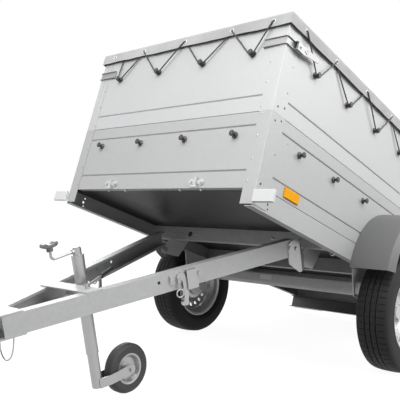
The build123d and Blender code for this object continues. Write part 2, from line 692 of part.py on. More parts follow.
def corner_latches():
    """Over-centre latches that tie the extension boards at the corners."""
    face, side = FRONT - POST_PROUD, HALF + POST_PROUD
    low, high = LATCH_LOW, LATCH_LOW + LATCH_HEIGHT
    reach_in, reach_back = HALF - LATCH_FRONT_REACH, FRONT + LATCH_SIDE_REACH
    skin = slab((reach_in, side + LATCH_STRAP), (face - LATCH_STRAP, face), (low, high))
    skin += slab((side, side + LATCH_STRAP), (face - LATCH_STRAP, reach_back), (low, high))
    for edge in (low, high - LATCH_STRAP):
        z = (edge, edge + LATCH_STRAP)
        skin += slab((reach_in, side + LATCH_STRAP), (face - LATCH_FLANGE, face), z)
        skin += slab((side, side + LATCH_FLANGE), (face - LATCH_STRAP, reach_back), z)
        skin += slab((side, HALF + LEVER_OUT[0]), tuple(FRONT + y for y in LATCH_BODY), z)
    pin = (HALF + 14, FRONT + LATCH_PIN)
    skin += rod((*pin, low - 2), (*pin, high + 2), 5)
    skin += slab((HALF + 13, HALF + LEVER_OUT[0] + 1), (FRONT + LATCH_PIN - 5, FRONT + LATCH_PIN + 5),
                 (low + 6, high - 6))
    start, (top, bottom) = FRONT + LATCH_PIN - 8, (FRONT + reach for reach in LEVER_REACH)
    toe, heel, crest = (low + height for height in LEVER_HEIGHTS)
    outline = [(start, toe), (FRONT + LATCH_BODY[1], toe), (bottom, heel + 6), (top, crest - 6),
               (FRONT + LATCH_BODY[1], high), (start, high)]
    skin += side_plate(outline, HALF + LEVER_OUT[0], HALF + LEVER_OUT[1])
    middle = Plane((0, (FRONT + REAR) / 2, 0), z_dir=(0, 1, 0))
    return both_sides(skin) + both_sides(mirror(skin, about=middle))


# ================================================================ drawbar pieces
def arm_x(y):
    """Outer face of the arm, abreast of y."""
    return ARM_SPREAD + tan(radians(ARM_ANGLE)) * y


ARM_LENGTH = (ARM_REAR - ARM_FRONT) / cos(radians(ARM_ANGLE))
ARM_PLACE = Pos(arm_x(ARM_REAR), ARM_REAR, ARM_CENTRE) * Rot(0, 0, -ARM_ANGLE)
ARM_LOW = ARM_CENTRE - ARM_HEIGHT / 2
ARM_HIGH = ARM_CENTRE + ARM_HEIGHT / 2


ARM_HOLE = 6.5
ARM_HOLES = ((-654.0, 7.0), (-576.0, 0.0), (-463.0, 0.0))  # abreast of, height from the centre


def drawbar_arm(holes):
    """Lipped channel, open towards the centreline."""
    half = ARM_HEIGHT / 2
    y = (-ARM_LENGTH, 0)
    arm = slab((-ARM_FLANGE, 0), y, (-half, half))
    arm -= slab((-ARM_FLANGE - 1, -ARM_GAUGE), (y[0] - 1, 1), (-half + ARM_LIP, half - ARM_LIP))
    arm -= slab((-ARM_FLANGE + ARM_GAUGE, -ARM_GAUGE), (y[0] - 1, 1), (-half + ARM_GAUGE, half - ARM_GAUGE))
    for along, height in holes:
        at = arm_y(along)
        arm -= rod((-ARM_GAUGE - 1, at, height), (1, at, height), ARM_HOLE)
    return ARM_PLACE * arm


PLATE_FRONT = -66.0
PLATE_BACK = 24.0
PLATE_DEEP = 200.0
PLATE_OUTLINE = (  # y, height over the hinge
    (-62, 0), (-62, 72), (-57, 86), (-46, 95), (-32, 98), (-18, 97), (-6, 91), (3, 80), (8, 60), (6, 38),
    (21, 28), (21, 8), (14, -34), (16, -44), (-14, -48))


def pivot_plates():
    """Plates on the arms' rear ends, with the bed's hinge pins."""
    front, back = PLATE_FRONT, PLATE_BACK
    plan = [(arm_x(front) + 0.05, front), (PLATE_INNER + 0.05, PLATE_BEND), (PLATE_INNER + 0.05, back),
            (PLATE_INNER + PIVOT_PLATE, back), (PLATE_INNER + PIVOT_PLATE, PLATE_BEND),
            (arm_x(front) + PIVOT_PLATE, front)]
    sheet = extrude(make_face(Polyline(*plan, close=True)), PLATE_DEEP)
    sheet = Pos(0, 0, -PLATE_DEEP / 3) * sheet
    reach = PIVOT_PLATE * 8
    plate = sheet & side_plate(PLATE_OUTLINE, PLATE_INNER - reach, PLATE_INNER + reach)
    plate += rod((BRACKET_X - 6, 0, 0), (PLATE_INNER + 3, 0, 0), PIVOT_PIN)
    plate += rod((BRACKET_X - 12, 0, 0), (BRACKET_X - 2, 0, 0), PIVOT_PIN + 6)
    for y, height in PLATE_BOLTS:
        bolt = rod((PIVOT_PLATE / 2, 0, 0), (PIVOT_PLATE + BOLT_HEAD, 0, 0), BOLT_RADIUS)
        plate += Pos(arm_x(y), y, height) * Rot(0, 0, -ARM_ANGLE) * bolt
    return both_sides(plate)


BOLT_RADIUS = 8.0
BOLT_HEAD = 6.0
PLATE_BOLTS = ((-52, 68), (-20, 58))


def on_arm(shape):
    """Place a piece modelled on the arm: x out from its web, y abreast, z from its centre."""
    return ARM_PLACE * shape


def arm_y(y):
    """Distance along the arm of a point abreast of y."""
    return (y - ARM_REAR) / cos(radians(ARM_ANGLE))


LOCK_PLATE = 4.0
LOCK_BOLTS = ((-605.0, 8.0), (-572.0, 15.0), (-493.0, 8.0))
LOCK_RING = 15.0
LOCK_WIRE = 2.5
LOCK_STRAP = (  # abreast of, height from the arm's centre
    (-586, 8), (-580, 22), (-566, 26), (-552, 18), (-545, 2), (-543, -62), (-548, -92), (-556, -102),
    (-576, -100), (-578, -86), (-566, -84), (-560, -66), (-563, -6), (-572, -2))


def lock_brackets():
    """Spring-pin locks on the arms' outer faces, with pull ring and claw."""
    low, high = arm_y(-545), arm_y(-500)
    lock = slab((0, LOCK_PLATE), (arm_y(-612), high), (-14, 24))
    lock += slab((0, LOCK_PLATE), (low, high), (-35, 30))
    lock += slab((LOCK_PLATE, 16), (high - LOCK_PLATE, high), (-46, 30))
    lock += slab((12, 16), (low, high), (-46, 30))
    strap = side_plate([(arm_y(y), h) for y, h in LOCK_STRAP], LOCK_PLATE - 0.5, LOCK_PLATE + 5)
    lock += strap
    lock += side_plate([(arm_y(y), h) for y, h in LOCK_STRAP[6:11]], LOCK_PLATE - 0.5, LOCK_PLATE + 14)
    for y, height in LOCK_BOLTS:
        reach = 16 if y > -500 else LOCK_PLATE
        lock += rod((0, arm_y(y), height), (reach + BOLT_HEAD, arm_y(y), height), BOLT_RADIUS)
    y = arm_y(-580)
    lock += rod((13, y, 12), (13, y, -12), 6)
    lock += slab((LOCK_PLATE - 1, 13), (y - 6, y + 6), (-10, 10))
    lock += rod((13, y, -12), (13, y, -51 + LOCK_RING), LOCK_WIRE)
    lock += Pos(13, y, -51) * Rot(0, 90, 0) * Torus(LOCK_RING, LOCK_WIRE)
    return both_sides(on_arm(lock))


NOSE_PLATE = 5.0


def bridge_plates():
    """Cross plates over and under the arms: nose pair, and the jack's."""
    plates = []
    jack_back = JACK_Y - JACK_OUTER - MOVE_GAP
    for y_front, y_back, levels in ((-1290, -1140, (ARM_HIGH, ARM_LOW - NOSE_PLATE)),
                                    (-925, jack_back, (ARM_HIGH,))):
        for z in levels:
            front = max(arm_x(y_front), 36.0)
            back = arm_x(y_back)
            outline = [(-front, y_front), (front, y_front), (back, y_back), (-back, y_back)]
            plates.append(Pos(0, 0, z) * extrude(make_face(Polyline(*outline, close=True)), NOSE_PLATE))
    return plates


HEAD_RADIUS = 34.0
HEAD_HIGH = 33.0  # above and below the arm's centre
HANDLE_REACH = 150.0


def coupling():
    """Ball coupling: shank between the nose plates, then the pressed head."""
    low, high = ARM_LOW, ARM_HIGH
    rear = ARM_FRONT - 8
    shank = slab((-30, 30), (SOCKET_Y + 60, rear), (low, high))
    shank -= slab((-27, 27), (SOCKET_Y + 70, rear + 1), (low + 3, high - 3))
    waist = Polyline((-HEAD_RADIUS, SOCKET_Y), (HEAD_RADIUS, SOCKET_Y), (26, SOCKET_Y + 40),
                     (28, SOCKET_Y + 62), (-28, SOCKET_Y + 62), (-26, SOCKET_Y + 40), close=True)
    neck = Pos(0, 0, low + 10) * extrude(make_face(waist), high - low - 16)
    head = Pos(0, SOCKET_Y, ARM_CENTRE) * Cylinder(HEAD_RADIUS, 2 * HEAD_HIGH)
    head = fillet(head.edges().group_by(Axis.Z)[-1], 14)
    collar = Pos(0, SOCKET_Y, ARM_CENTRE - HEAD_HIGH + 4) * Cylinder(HEAD_RADIUS + 4, 8)
    body = shank + neck + head + collar
    floor_z = ARM_CENTRE - HEAD_HIGH
    body -= Pos(0, SOCKET_Y, floor_z + 17) * Cylinder(BALL_RADIUS, 36)
    body -= Pos(0, SOCKET_Y, floor_z + 34) * Sphere(BALL_RADIUS)
    return [body]


def coupling_handle():
    """Lever over the coupling's neck, curved up to its grip."""
    top = ARM_HIGH
    y = SOCKET_Y + 10
    outline = [(y, top + 1), (y + 36, top + 1), (y + 60, top + 6), (y + HANDLE_REACH, top + 26),
               (y + HANDLE_REACH, top + 36), (y + HANDLE_REACH - 20, top + 36), (y + 56, top + 18),
               (y + 10, top + 16), (y, top + 10)]
    handle = side_plate(outline, -15, 15)
    handle = fillet(handle.edges().filter_by(Axis.X), 3)
    foot = slab((-12, 12), (y + 10, y + 34), (top - 4, top + 4))
    return [handle + foot]


SAFETY_CABLE = 2.5  # radius
CABLE_EXIT_Y = -1172.0
CABLE_TOP = ARM_LOW - NOSE_PLATE
CABLE_ROUTE = (  # across, below the nose plate
    (46, 0), (46, 20), (43, 48), (30, 76), (0, 92), (-30, 76), (-43, 48), (-46, 20), (-46, 0))


def safety_cable():
    """Breakaway cable that hangs in a loop under the nose plates."""
    lean = tan(radians(DRAWBAR_SLOPE))
    top = CABLE_TOP - SAFETY_CABLE * lean - SEAM
    points = [(x, CABLE_EXIT_Y - drop * lean, top - drop) for x, drop in CABLE_ROUTE]
    radii = []
    for before, at, after in zip(points, points[1:], points[2:]):
        runs = (Vector(*at) - Vector(*before), Vector(*after) - Vector(*at))
        turn = radians(runs[0].get_angle(runs[1]))
        radii.append(0.45 * min(run.length for run in runs) / tan(turn / 2))
    route = FilletPolyline(*points, radius=radii)
    return [sweep(Plane(points[0], z_dir=route % 0) * Circle(SAFETY_CABLE), path=route)]


CLAMP_WALL = 6.0
CLAMP_HEIGHT = 60.0
GRIP_START = (47.0, -779.0)
GRIP_END = (4.0, -692.0)
LEVER_BOLT_Y = -890.0
LEVER_Z = ARM_HIGH + 16


def jack_clamp():
    """Split collar under the jack's cross plate, with its boss."""
    middle = ARM_HIGH - CLAMP_HEIGHT / 2
    collar = Pos(0, JACK_Y, middle) * Cylinder(JACK_OUTER + CLAMP_WALL, CLAMP_HEIGHT)
    collar += slab((-20, 20), (JACK_Y - 62, JACK_Y - JACK_OUTER - 3), (ARM_HIGH - 25, ARM_HIGH))
    collar -= Pos(0, JACK_Y, middle) * Cylinder(JACK_OUTER + FIT, 2 * CLAMP_HEIGHT)
    return [collar]


def clamp_lever():
    """Lever of the jack's clamp, on its bolt in the cross plate."""
    y = LEVER_BOLT_Y
    slope = (GRIP_END[0] - GRIP_START[0]) / (GRIP_END[1] - GRIP_START[1])
    x = GRIP_START[0] + (y - GRIP_START[1]) * slope
    lever = rod((x, y, ARM_HIGH + NOSE_PLATE), (x, y, LEVER_Z + 6), 7)
    lever += rod((x, y, LEVER_Z), (*GRIP_START, LEVER_Z), 4)
    return [lever]


def clamp_grip():
    return [rod((*GRIP_START, LEVER_Z), (*GRIP_END, LEVER_Z), 9)]


# ================================================================ jack pieces
def jack_tube():
    tube = pipe((0, JACK_Y, JACK_BOTTOM), (0, JACK_Y, JACK_TOP), JACK_OUTER, JACK_OUTER - JACK_WALL)
    cap = rod((0, JACK_Y, JACK_TOP), (0, JACK_Y, JACK_TOP + 4), JACK_OUTER + 1)
    return [tube + cap]


CRANK_RADIUS = 5.0
CRANK_REACH = 115.0
CRANK_Z = JACK_TOP + 18


CRANK_RISE = 26.0
CRANK_CORNER = 14.0
KNOB_NECK = 13.0
KNOB_SIDE = (  # along the wing, above the neck
    (-10, 0), (10, 0), (24, 2), (32, 8), (33, 15), (28, 20), (20, 20), (8, 13), (-8, 13), (-20, 20),
    (-28, 20), (-33, 15), (-32, 8), (-24, 2))


def jack_crank():
    """Crank head with its boss, and the rod bent up to the knob."""
    head = rod((0, JACK_Y, JACK_TOP + 4), (0, JACK_Y, JACK_TOP + 30), 17)
    head += rod((0, JACK_Y, CRANK_Z), (0, JACK_Y - 24, CRANK_Z), 9)
    head = head + rod((0, JACK_Y, JACK_TOP + 29), (0, JACK_Y, JACK_TOP + 33), 14)
    start = (0, JACK_Y - 12, CRANK_Z)
    bend = (0, JACK_Y - CRANK_REACH, CRANK_Z - 6)
    route = FilletPolyline(start, bend, (bend[0], bend[1], CRANK_Z + CRANK_RISE), radius=CRANK_CORNER)
    arm = sweep(Plane(start, z_dir=route % 0) * Circle(CRANK_RADIUS), path=route)
    return [head + arm]


def jack_knob():
    """Wing knob on a round neck."""
    base = CRANK_Z + CRANK_RISE
    y = JACK_Y - CRANK_REACH
    wing = side_plate([(y + along, base + KNOB_NECK + up) for along, up in KNOB_SIDE], -13, 13)
    wing = fillet(wing.edges().group_by(Axis.X)[0] + wing.edges().group_by(Axis.X)[-1], 3)
    return [rod((0, y, base), (0, y, base + KNOB_NECK + 2), 12) + wing]


PIVOT_WORLD_Z = PIVOT_Z * cos(radians(BED_TIP)) - PIVOT_Y * sin(radians(BED_TIP)) + TYRE_RADIUS
JACK_WHEEL_Y = JACK_Y + JACK_TRAIL
JACK_WHEEL_Z = ((JACK_WHEEL_RADIUS - PIVOT_WORLD_Z - JACK_WHEEL_Y * sin(radians(DRAWBAR_SLOPE)))
                / cos(radians(DRAWBAR_SLOPE)))
LEG_RADIUS = JACK_OUTER - JACK_WALL - FIT
LEG_TOP = -20.0
FORK_INSIDE = JACK_WHEEL_WIDTH / 2 + 7


def jack_leg():
    """Inner tube with the fork that trails behind it."""
    strap_low = JACK_WHEEL_Z - FORK_HEIGHT / 2
    leg = rod((0, JACK_Y, strap_low), (0, JACK_Y, LEG_TOP), LEG_RADIUS)
    leg = fillet(leg.edges().group_by(Axis.Z)[0], 5)
    leg -= rod((0, JACK_Y, strap_low + 6), (0, JACK_Y, LEG_TOP + 1), LEG_RADIUS - 3)
    near, far = LEG_RADIUS - 1, FORK_INSIDE
    bend = JACK_Y + 46
    plan = [(near, JACK_Y - 2), (far, bend), (far, JACK_WHEEL_Y), (far + FORK_STRAP, JACK_WHEEL_Y),
            (far + FORK_STRAP, bend - 1), (near + FORK_STRAP, JACK_Y - 4)]
    strap = Pos(0, 0, strap_low) * extrude(make_face(Polyline(*plan, close=True)), FORK_HEIGHT)
    strap += rod((far, JACK_WHEEL_Y, JACK_WHEEL_Z), (far + FORK_STRAP, JACK_WHEEL_Y, JACK_WHEEL_Z),
                 FORK_HEIGHT / 2)
    strap += rod((far, JACK_WHEEL_Y, JACK_WHEEL_Z), (far + FORK_STRAP + 7, JACK_WHEEL_Y, JACK_WHEEL_Z), 10)
    axle = rod((-far - 1, JACK_WHEEL_Y, JACK_WHEEL_Z), (far + 1, JACK_WHEEL_Y, JACK_WHEEL_Z), 6)
    return [leg + axle + strap + mirror(strap, about=Plane.YZ)]


def ring(profile):
    """Solid of revolution about the x axis, from its (x, radius) profile."""
    face = make_face(Polyline(*profile, close=True))
    return revolve(face, Axis.X)


JACK_RIM_RADIUS = 62.0


def jack_rim():
    half = JACK_WHEEL_WIDTH / 2
    disc = ring([(-half - 4, 6 + FIT), (half + 4, 6 + FIT), (half + 4, 16), (4, 18), (4, 44), (half - 4, 54),
                 (half - 2, JACK_RIM_RADIUS), (-half + 2, JACK_RIM_RADIUS), (-half + 4, 54), (-4, 44), (-4, 18),
                 (-half - 4, 16)])
    return [Pos(0, JACK_WHEEL_Y, JACK_WHEEL_Z) * disc]


def jack_tyre():
    half = JACK_WHEEL_WIDTH / 2
    bore = JACK_RIM_RADIUS + 0.05
    tyre = ring([(-half, bore), (half, bore), (half, JACK_WHEEL_RADIUS - 14), (half - 6, JACK_WHEEL_RADIUS - 4),
                 (half - 14, JACK_WHEEL_RADIUS), (-half + 14, JACK_WHEEL_RADIUS),
                 (-half + 6, JACK_WHEEL_RADIUS - 4), (-half, JACK_WHEEL_RADIUS - 14)])
    return [Pos(0, JACK_WHEEL_Y, JACK_WHEEL_Z) * tyre]


# ================================================================ road wheels
RIM_GAUGE = 3.5
DISC_X = 18.0  # wheel disc, outboard of the centre plane
VENT_COUNT = 20
VENT_RING = 122.0
VENT_RADIUS = 9.5
BOLT_COUNT = 4
BOLT_RING = 50.0


def wheel_rim():
    """Pressed steel rim with its disc and hub, left side."""
    half = RIM_WIDTH / 2
    well = 22.0
    barrel = [(-half, RIM_RADIUS + 12), (-half + 3, RIM_RADIUS), (-half + 30, RIM_RADIUS),
              (-half + 42, RIM_RADIUS - well), (half - 42, RIM_RADIUS - well), (half - 24, RIM_RADIUS),
              (half - 3, RIM_RADIUS), (half, RIM_RADIUS + 12)]
    inner = [(x, r - RIM_GAUGE) for x, r in reversed(barrel)]
    rim = ring(barrel + inner)
    well_r = RIM_RADIUS - well - RIM_GAUGE / 2
    disc = ring([(-22, STUB_RADIUS + FIT), (-14, STUB_RADIUS + FIT), (-14, HUB_RADIUS), (-10, 75),
                 (DISC_X - 4, 100), (DISC_X, 125), (DISC_X - 10, well_r), (DISC_X - 18, well_r),
                 (DISC_X - 6, 122), (DISC_X - 10, 104), (-17, 78), (-22, HUB_RADIUS)])
    hub = ring([(-40, STUB_RADIUS + FIT), (-21, STUB_RADIUS + FIT), (-21, HUB_RADIUS + 5), (-40, HUB_RADIUS + 5)])
    cap = ring([(-15, STUB_RADIUS + FIT), (3, STUB_RADIUS + FIT), (3, 0), (8, 0), (8, 30), (-15, 32)])
    wheel = rim + disc + hub + cap
    for index in range(VENT_COUNT):
        angle = 2 * pi * index / VENT_COUNT
        y, z = VENT_RING * cos(angle), VENT_RING * sin(angle)
        wheel -= rod((DISC_X - 30, y, z), (DISC_X + 12, y, z), VENT_RADIUS)
    for index in range(BOLT_COUNT):
        angle = 2 * pi * (index + 0.5) / BOLT_COUNT
        y, z = BOLT_RING * cos(angle), BOLT_RING * sin(angle)
        wheel += rod((-24, y, z), (0, y, z), 9)
    return [Pos(TRACK / 2, 0, 0) * wheel]


def wheel_tyre():
    half = TYRE_WIDTH / 2
    bead = RIM_RADIUS + 0.2
    side = RIM_WIDTH / 2 - 5
    outer = [(-side, bead), (-side, bead + 14), (-half + 6, bead + 28), (-half, bead + 52), (-half + 8, TYRE_RADIUS - 22),
             (-half + 22, TYRE_RADIUS - 4), (-half + 50, TYRE_RADIUS), (half - 50, TYRE_RADIUS),
             (half - 22, TYRE_RADIUS - 4), (half - 8, TYRE_RADIUS - 22), (half, bead + 52),
             (half - 6, bead + 28), (side, bead + 14), (side, bead)]
    inner = [(side - 14, bead), (half - 16, bead + 26), (half - 9, bead + 52), (half - 18, TYRE_RADIUS - 28),
             (half - 34, TYRE_RADIUS - 16), (-half + 34, TYRE_RADIUS - 16), (-half + 18, TYRE_RADIUS - 28),
             (-half + 9, bead + 52), (-half + 16, bead + 26), (-side + 14, bead)]
    return [Pos(TRACK / 2, 0, 0) * ring(outer + inner)]


# ================================================================ placing
BED = Pos(0, 0, TYRE_RADIUS) * Rot(-BED_TIP, 0, 0)
DRAWBAR = BED * Pos(0, PIVOT_Y, PIVOT_Z) * Rot(TIP_RANGE, 0, 0)


def left(shapes):
    return shapes if isinstance(shapes, list) else [shapes]


def right(shapes):
    return [mirror(shape, about=Plane.YZ) for shape in left(shapes)]


EXTENSION_FRONT = end_board(FRONT, 1, END_HALF, UPPER_BOARDS, EXTENSION_RIBS)
EXTENSION_REAR = end_board(REAR, -1, END_HALF, UPPER_BOARDS, EXTENSION_RIBS)

# node, frame, solids
NODES = [
    ("side_rail_left", BED, left(side_rail())),
    ("side_rail_right", BED, right(side_rail())),
    ("cross_members", BED, cross_members()),
    ("bed_floor", BED, bed_floor()),
    ("front_board", BED, front_board()),
    ("side_board_left", BED, left(side_board(LOWER_BOARDS, LOWER_RIBS))),
    ("side_board_right", BED, right(side_board(LOWER_BOARDS, LOWER_RIBS))),
    ("lower_posts", BED, posts(lower_post())),
    ("extension_front", BED, [EXTENSION_FRONT]),
    ("extension_rear", BED, [EXTENSION_REAR]),
    ("extension_left", BED, left(side_board(UPPER_BOARDS, EXTENSION_RIBS))),
    ("extension_right", BED, right(side_board(UPPER_BOARDS, EXTENSION_RIBS))),
    ("upper_posts", BED, posts(upper_post())),
    ("tarp", BED, tarp()),
    ("tarp_lacing", BED, tarp_lacing()),
    ("tarp_hooks", BED, bed_hooks()),
    ("front_hinges", BED, front_hinges()),
    ("corner_latches", BED, corner_latches()),
    ("tailgate_leaves", BED, tailgate_hinge_fixed()),
    ("pivot_brackets", BED, pivot_brackets()),
    ("axle_tube", BED, axle_tube()),
    ("axle_plates", BED, axle_plates()),
    ("swing_arm_left", BED, left(swing_arm())),
    ("swing_arm_right", BED, right(swing_arm())),
    ("mudguard_left", BED, left(mudguard())),
    ("mudguard_right", BED, right(mudguard())),
    ("light_beam", BED, light_beam()),
    ("rear_lamps", BED, rear_lamps()),
    ("side_reflectors", BED, side_reflectors()),
    ("front_markers", BED, front_markers()),
    ("tailgate", BED, [tailgate_panel()]),
    ("tailgate_straps", BED, tailgate_hinge_moving()),
    ("tailgate_hooks", BED, tailgate_hooks()),
    ("number_plate", BED, number_plate()),
    ("wheel_rim_left", BED, wheel_rim()),
    ("wheel_rim_right", BED, right(wheel_rim())),
    ("wheel_tyre_left", BED, wheel_tyre()),
    ("wheel_tyre_right", BED, right(wheel_tyre())),
    ("drawbar_arm_left", DRAWBAR, left(drawbar_arm(ARM_HOLES[:2]))),
    ("drawbar_arm_right", DRAWBAR, right(drawbar_arm(ARM_HOLES))),
    ("pivot_plates", DRAWBAR, pivot_plates()),
    ("lock_brackets", DRAWBAR, lock_brackets()),
    ("bridge_plates", DRAWBAR, bridge_plates()),
    ("coupling", DRAWBAR, coupling()),
    ("coupling_handle", DRAWBAR, coupling_handle()),
    ("safety_cable", DRAWBAR, safety_cable()),
    ("jack_clamp", DRAWBAR, jack_clamp()),
    ("clamp_lever", DRAWBAR, clamp_lever()),
    ("clamp_grip", DRAWBAR, clamp_grip()),
    ("jack_tube", DRAWBAR, jack_tube()),
    ("jack_crank", DRAWBAR, jack_crank()),
    ("jack_knob", DRAWBAR, jack_knob()),
    ("jack_leg", DRAWBAR, jack_leg()),
    ("jack_rim", DRAWBAR, jack_rim()),
    ("jack_tyre", DRAWBAR, jack_tyre()),
]

placed = {}
for node, frame, solids in NODES:
    placed[node] = [frame * solid for solid in solids]

# the origin is on the floor, under the middle of the whole length
boxes = [solid.bounding_box() for solids in placed.values() for solid in solids]
MIDDLE = (min(box.min.Y for box in boxes) + max(box.max.Y for box in boxes)) / 2
ORIGIN = Pos(0, -MIDDLE, 0)

if __name__ == "__main__":
    os.makedirs("parts", exist_ok=True)
    for node, solids in placed.items():
        moved = [ORIGIN * solid for solid in solids]
        shape = moved[0] if len(moved) == 1 else Compound(children=moved)
        export_step(shape, f"parts/{node}.step")
    print("wheel axis at y", round(-MIDDLE, 3))
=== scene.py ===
# %% [markdown]
# # A tipping utility trailer
# A light trailer with a box of folded galvanised sheet, a grey tarpaulin laced
# over it, a hinged A-shaped drawbar and a jack wheel. The solid parts come from
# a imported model, so they already have their shapes and places. This notebook
# gives them their finishes and adds what a pack leaves out: cloth, tread,
# rivets, bolts, small fittings and a wire cable.

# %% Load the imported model
import json
import math

import bmesh
import bpy
from mathutils import Matrix, Vector, noise


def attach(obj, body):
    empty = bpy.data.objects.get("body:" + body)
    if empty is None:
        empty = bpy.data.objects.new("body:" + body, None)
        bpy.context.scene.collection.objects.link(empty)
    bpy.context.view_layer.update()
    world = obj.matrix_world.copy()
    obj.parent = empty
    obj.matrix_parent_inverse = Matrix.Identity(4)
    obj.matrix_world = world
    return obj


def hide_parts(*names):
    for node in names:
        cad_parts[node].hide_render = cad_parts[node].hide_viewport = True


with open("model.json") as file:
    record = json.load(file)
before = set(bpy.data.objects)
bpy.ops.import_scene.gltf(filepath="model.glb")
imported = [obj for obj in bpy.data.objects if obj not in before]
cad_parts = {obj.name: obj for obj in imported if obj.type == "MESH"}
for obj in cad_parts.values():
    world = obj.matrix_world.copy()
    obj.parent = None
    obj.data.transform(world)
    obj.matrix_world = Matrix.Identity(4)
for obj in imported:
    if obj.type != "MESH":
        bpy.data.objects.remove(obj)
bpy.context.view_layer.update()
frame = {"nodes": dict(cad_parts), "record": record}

# %% [markdown]
# The box is tipped and the drawbar slopes the other way, so each has its own
# working frame in millimetres: the bed's starts on the wheels' axis and the
# drawbar's on its hinge. A matrix takes a finished piece from there to its
# place, which is simpler than turning every number by hand.

# %% Working frames of the bed and the drawbar
JOINTS = {joint["name"]: joint for joint in frame["record"]["behaviour"]["joints"]}
BED_TIP = math.radians(18.31)  # its front end is up
DRAWBAR_SLOPE = math.radians(11.25)  # its nose is down
MM = Matrix.Scale(0.001, 4)
WHEEL_AXIS = Vector(JOINTS["wheel_left_spin"]["pos_m"])
HINGE = Vector(JOINTS["bed_tip"]["pos_m"])
BED = Matrix.Translation((0, WHEEL_AXIS.y, WHEEL_AXIS.z)) @ Matrix.Rotation(-BED_TIP, 4, "X") @ MM
DRAWBAR = Matrix.Translation(HINGE) @ Matrix.Rotation(DRAWBAR_SLOPE, 4, "X") @ MM
# Faces of the boards in the bed's frame: a side's, the front board's and the tailgate's.
HALF = 556.0
FRONT = -1096.0
REAR = 996.0
print("wheel axis", WHEEL_AXIS, "hinge", HINGE)

# %% [markdown]
# ## Camera
# The view is from the left front, low enough to see under the tipped bed. The
# camera is described by where it stands and the three directions of its frame,
# which is exact and needs no aiming constraint.

# %% Camera
SENSOR = 36.0
FOCAL_PIXELS = 611.39
IMAGE_PIXELS = 400.0
CAMERA_RIGHT = Vector((0.73964, 0.67290, 0.01020))
CAMERA_FORWARD = Vector((-0.67300, 0.73964, 0.00438))
CAMERA_PLACE = Vector((1.88744, WHEEL_AXIS.y - 2.73055, 0.77158))
CLIP_END = 60.0

camera_data = bpy.data.cameras.new("viewpoint")
camera_data.sensor_width = SENSOR
camera_data.lens = FOCAL_PIXELS / IMAGE_PIXELS * SENSOR
camera_data.clip_end = CLIP_END
camera = bpy.data.objects.new("viewpoint", camera_data)
bpy.context.collection.objects.link(camera)
forward = CAMERA_FORWARD.normalized()
right = (CAMERA_RIGHT - forward * CAMERA_RIGHT.dot(forward)).normalized()
up = right.cross(forward)
turn = Matrix((right, up, -forward)).transposed().to_4x4()
camera.matrix_world = Matrix.Translation(CAMERA_PLACE) @ turn
bpy.context.scene.camera = camera
bpy.context.scene.view_settings.view_transform = "Standard"
print("lens", round(camera_data.lens, 2), "mm")

# %% [markdown]
# ## Finishes as Python expressions
# A finish is a small network of nodes. Writing the arithmetic as ordinary
# Python keeps it readable: a wrapped socket adds a Math node for each operator.

# %% A number that varies over a surface
class Field:
    """A value socket on which Python's operators add Math nodes."""

    def __init__(self, finish, socket):
        self.finish = finish
        self.socket = socket

    def __add__(self, other):
        return self.finish.math("ADD", self, other)

    def __sub__(self, other):
        return self.finish.math("SUBTRACT", self, other)

    def __mul__(self, other):
        return self.finish.math("MULTIPLY", self, other)

    __radd__ = __add__


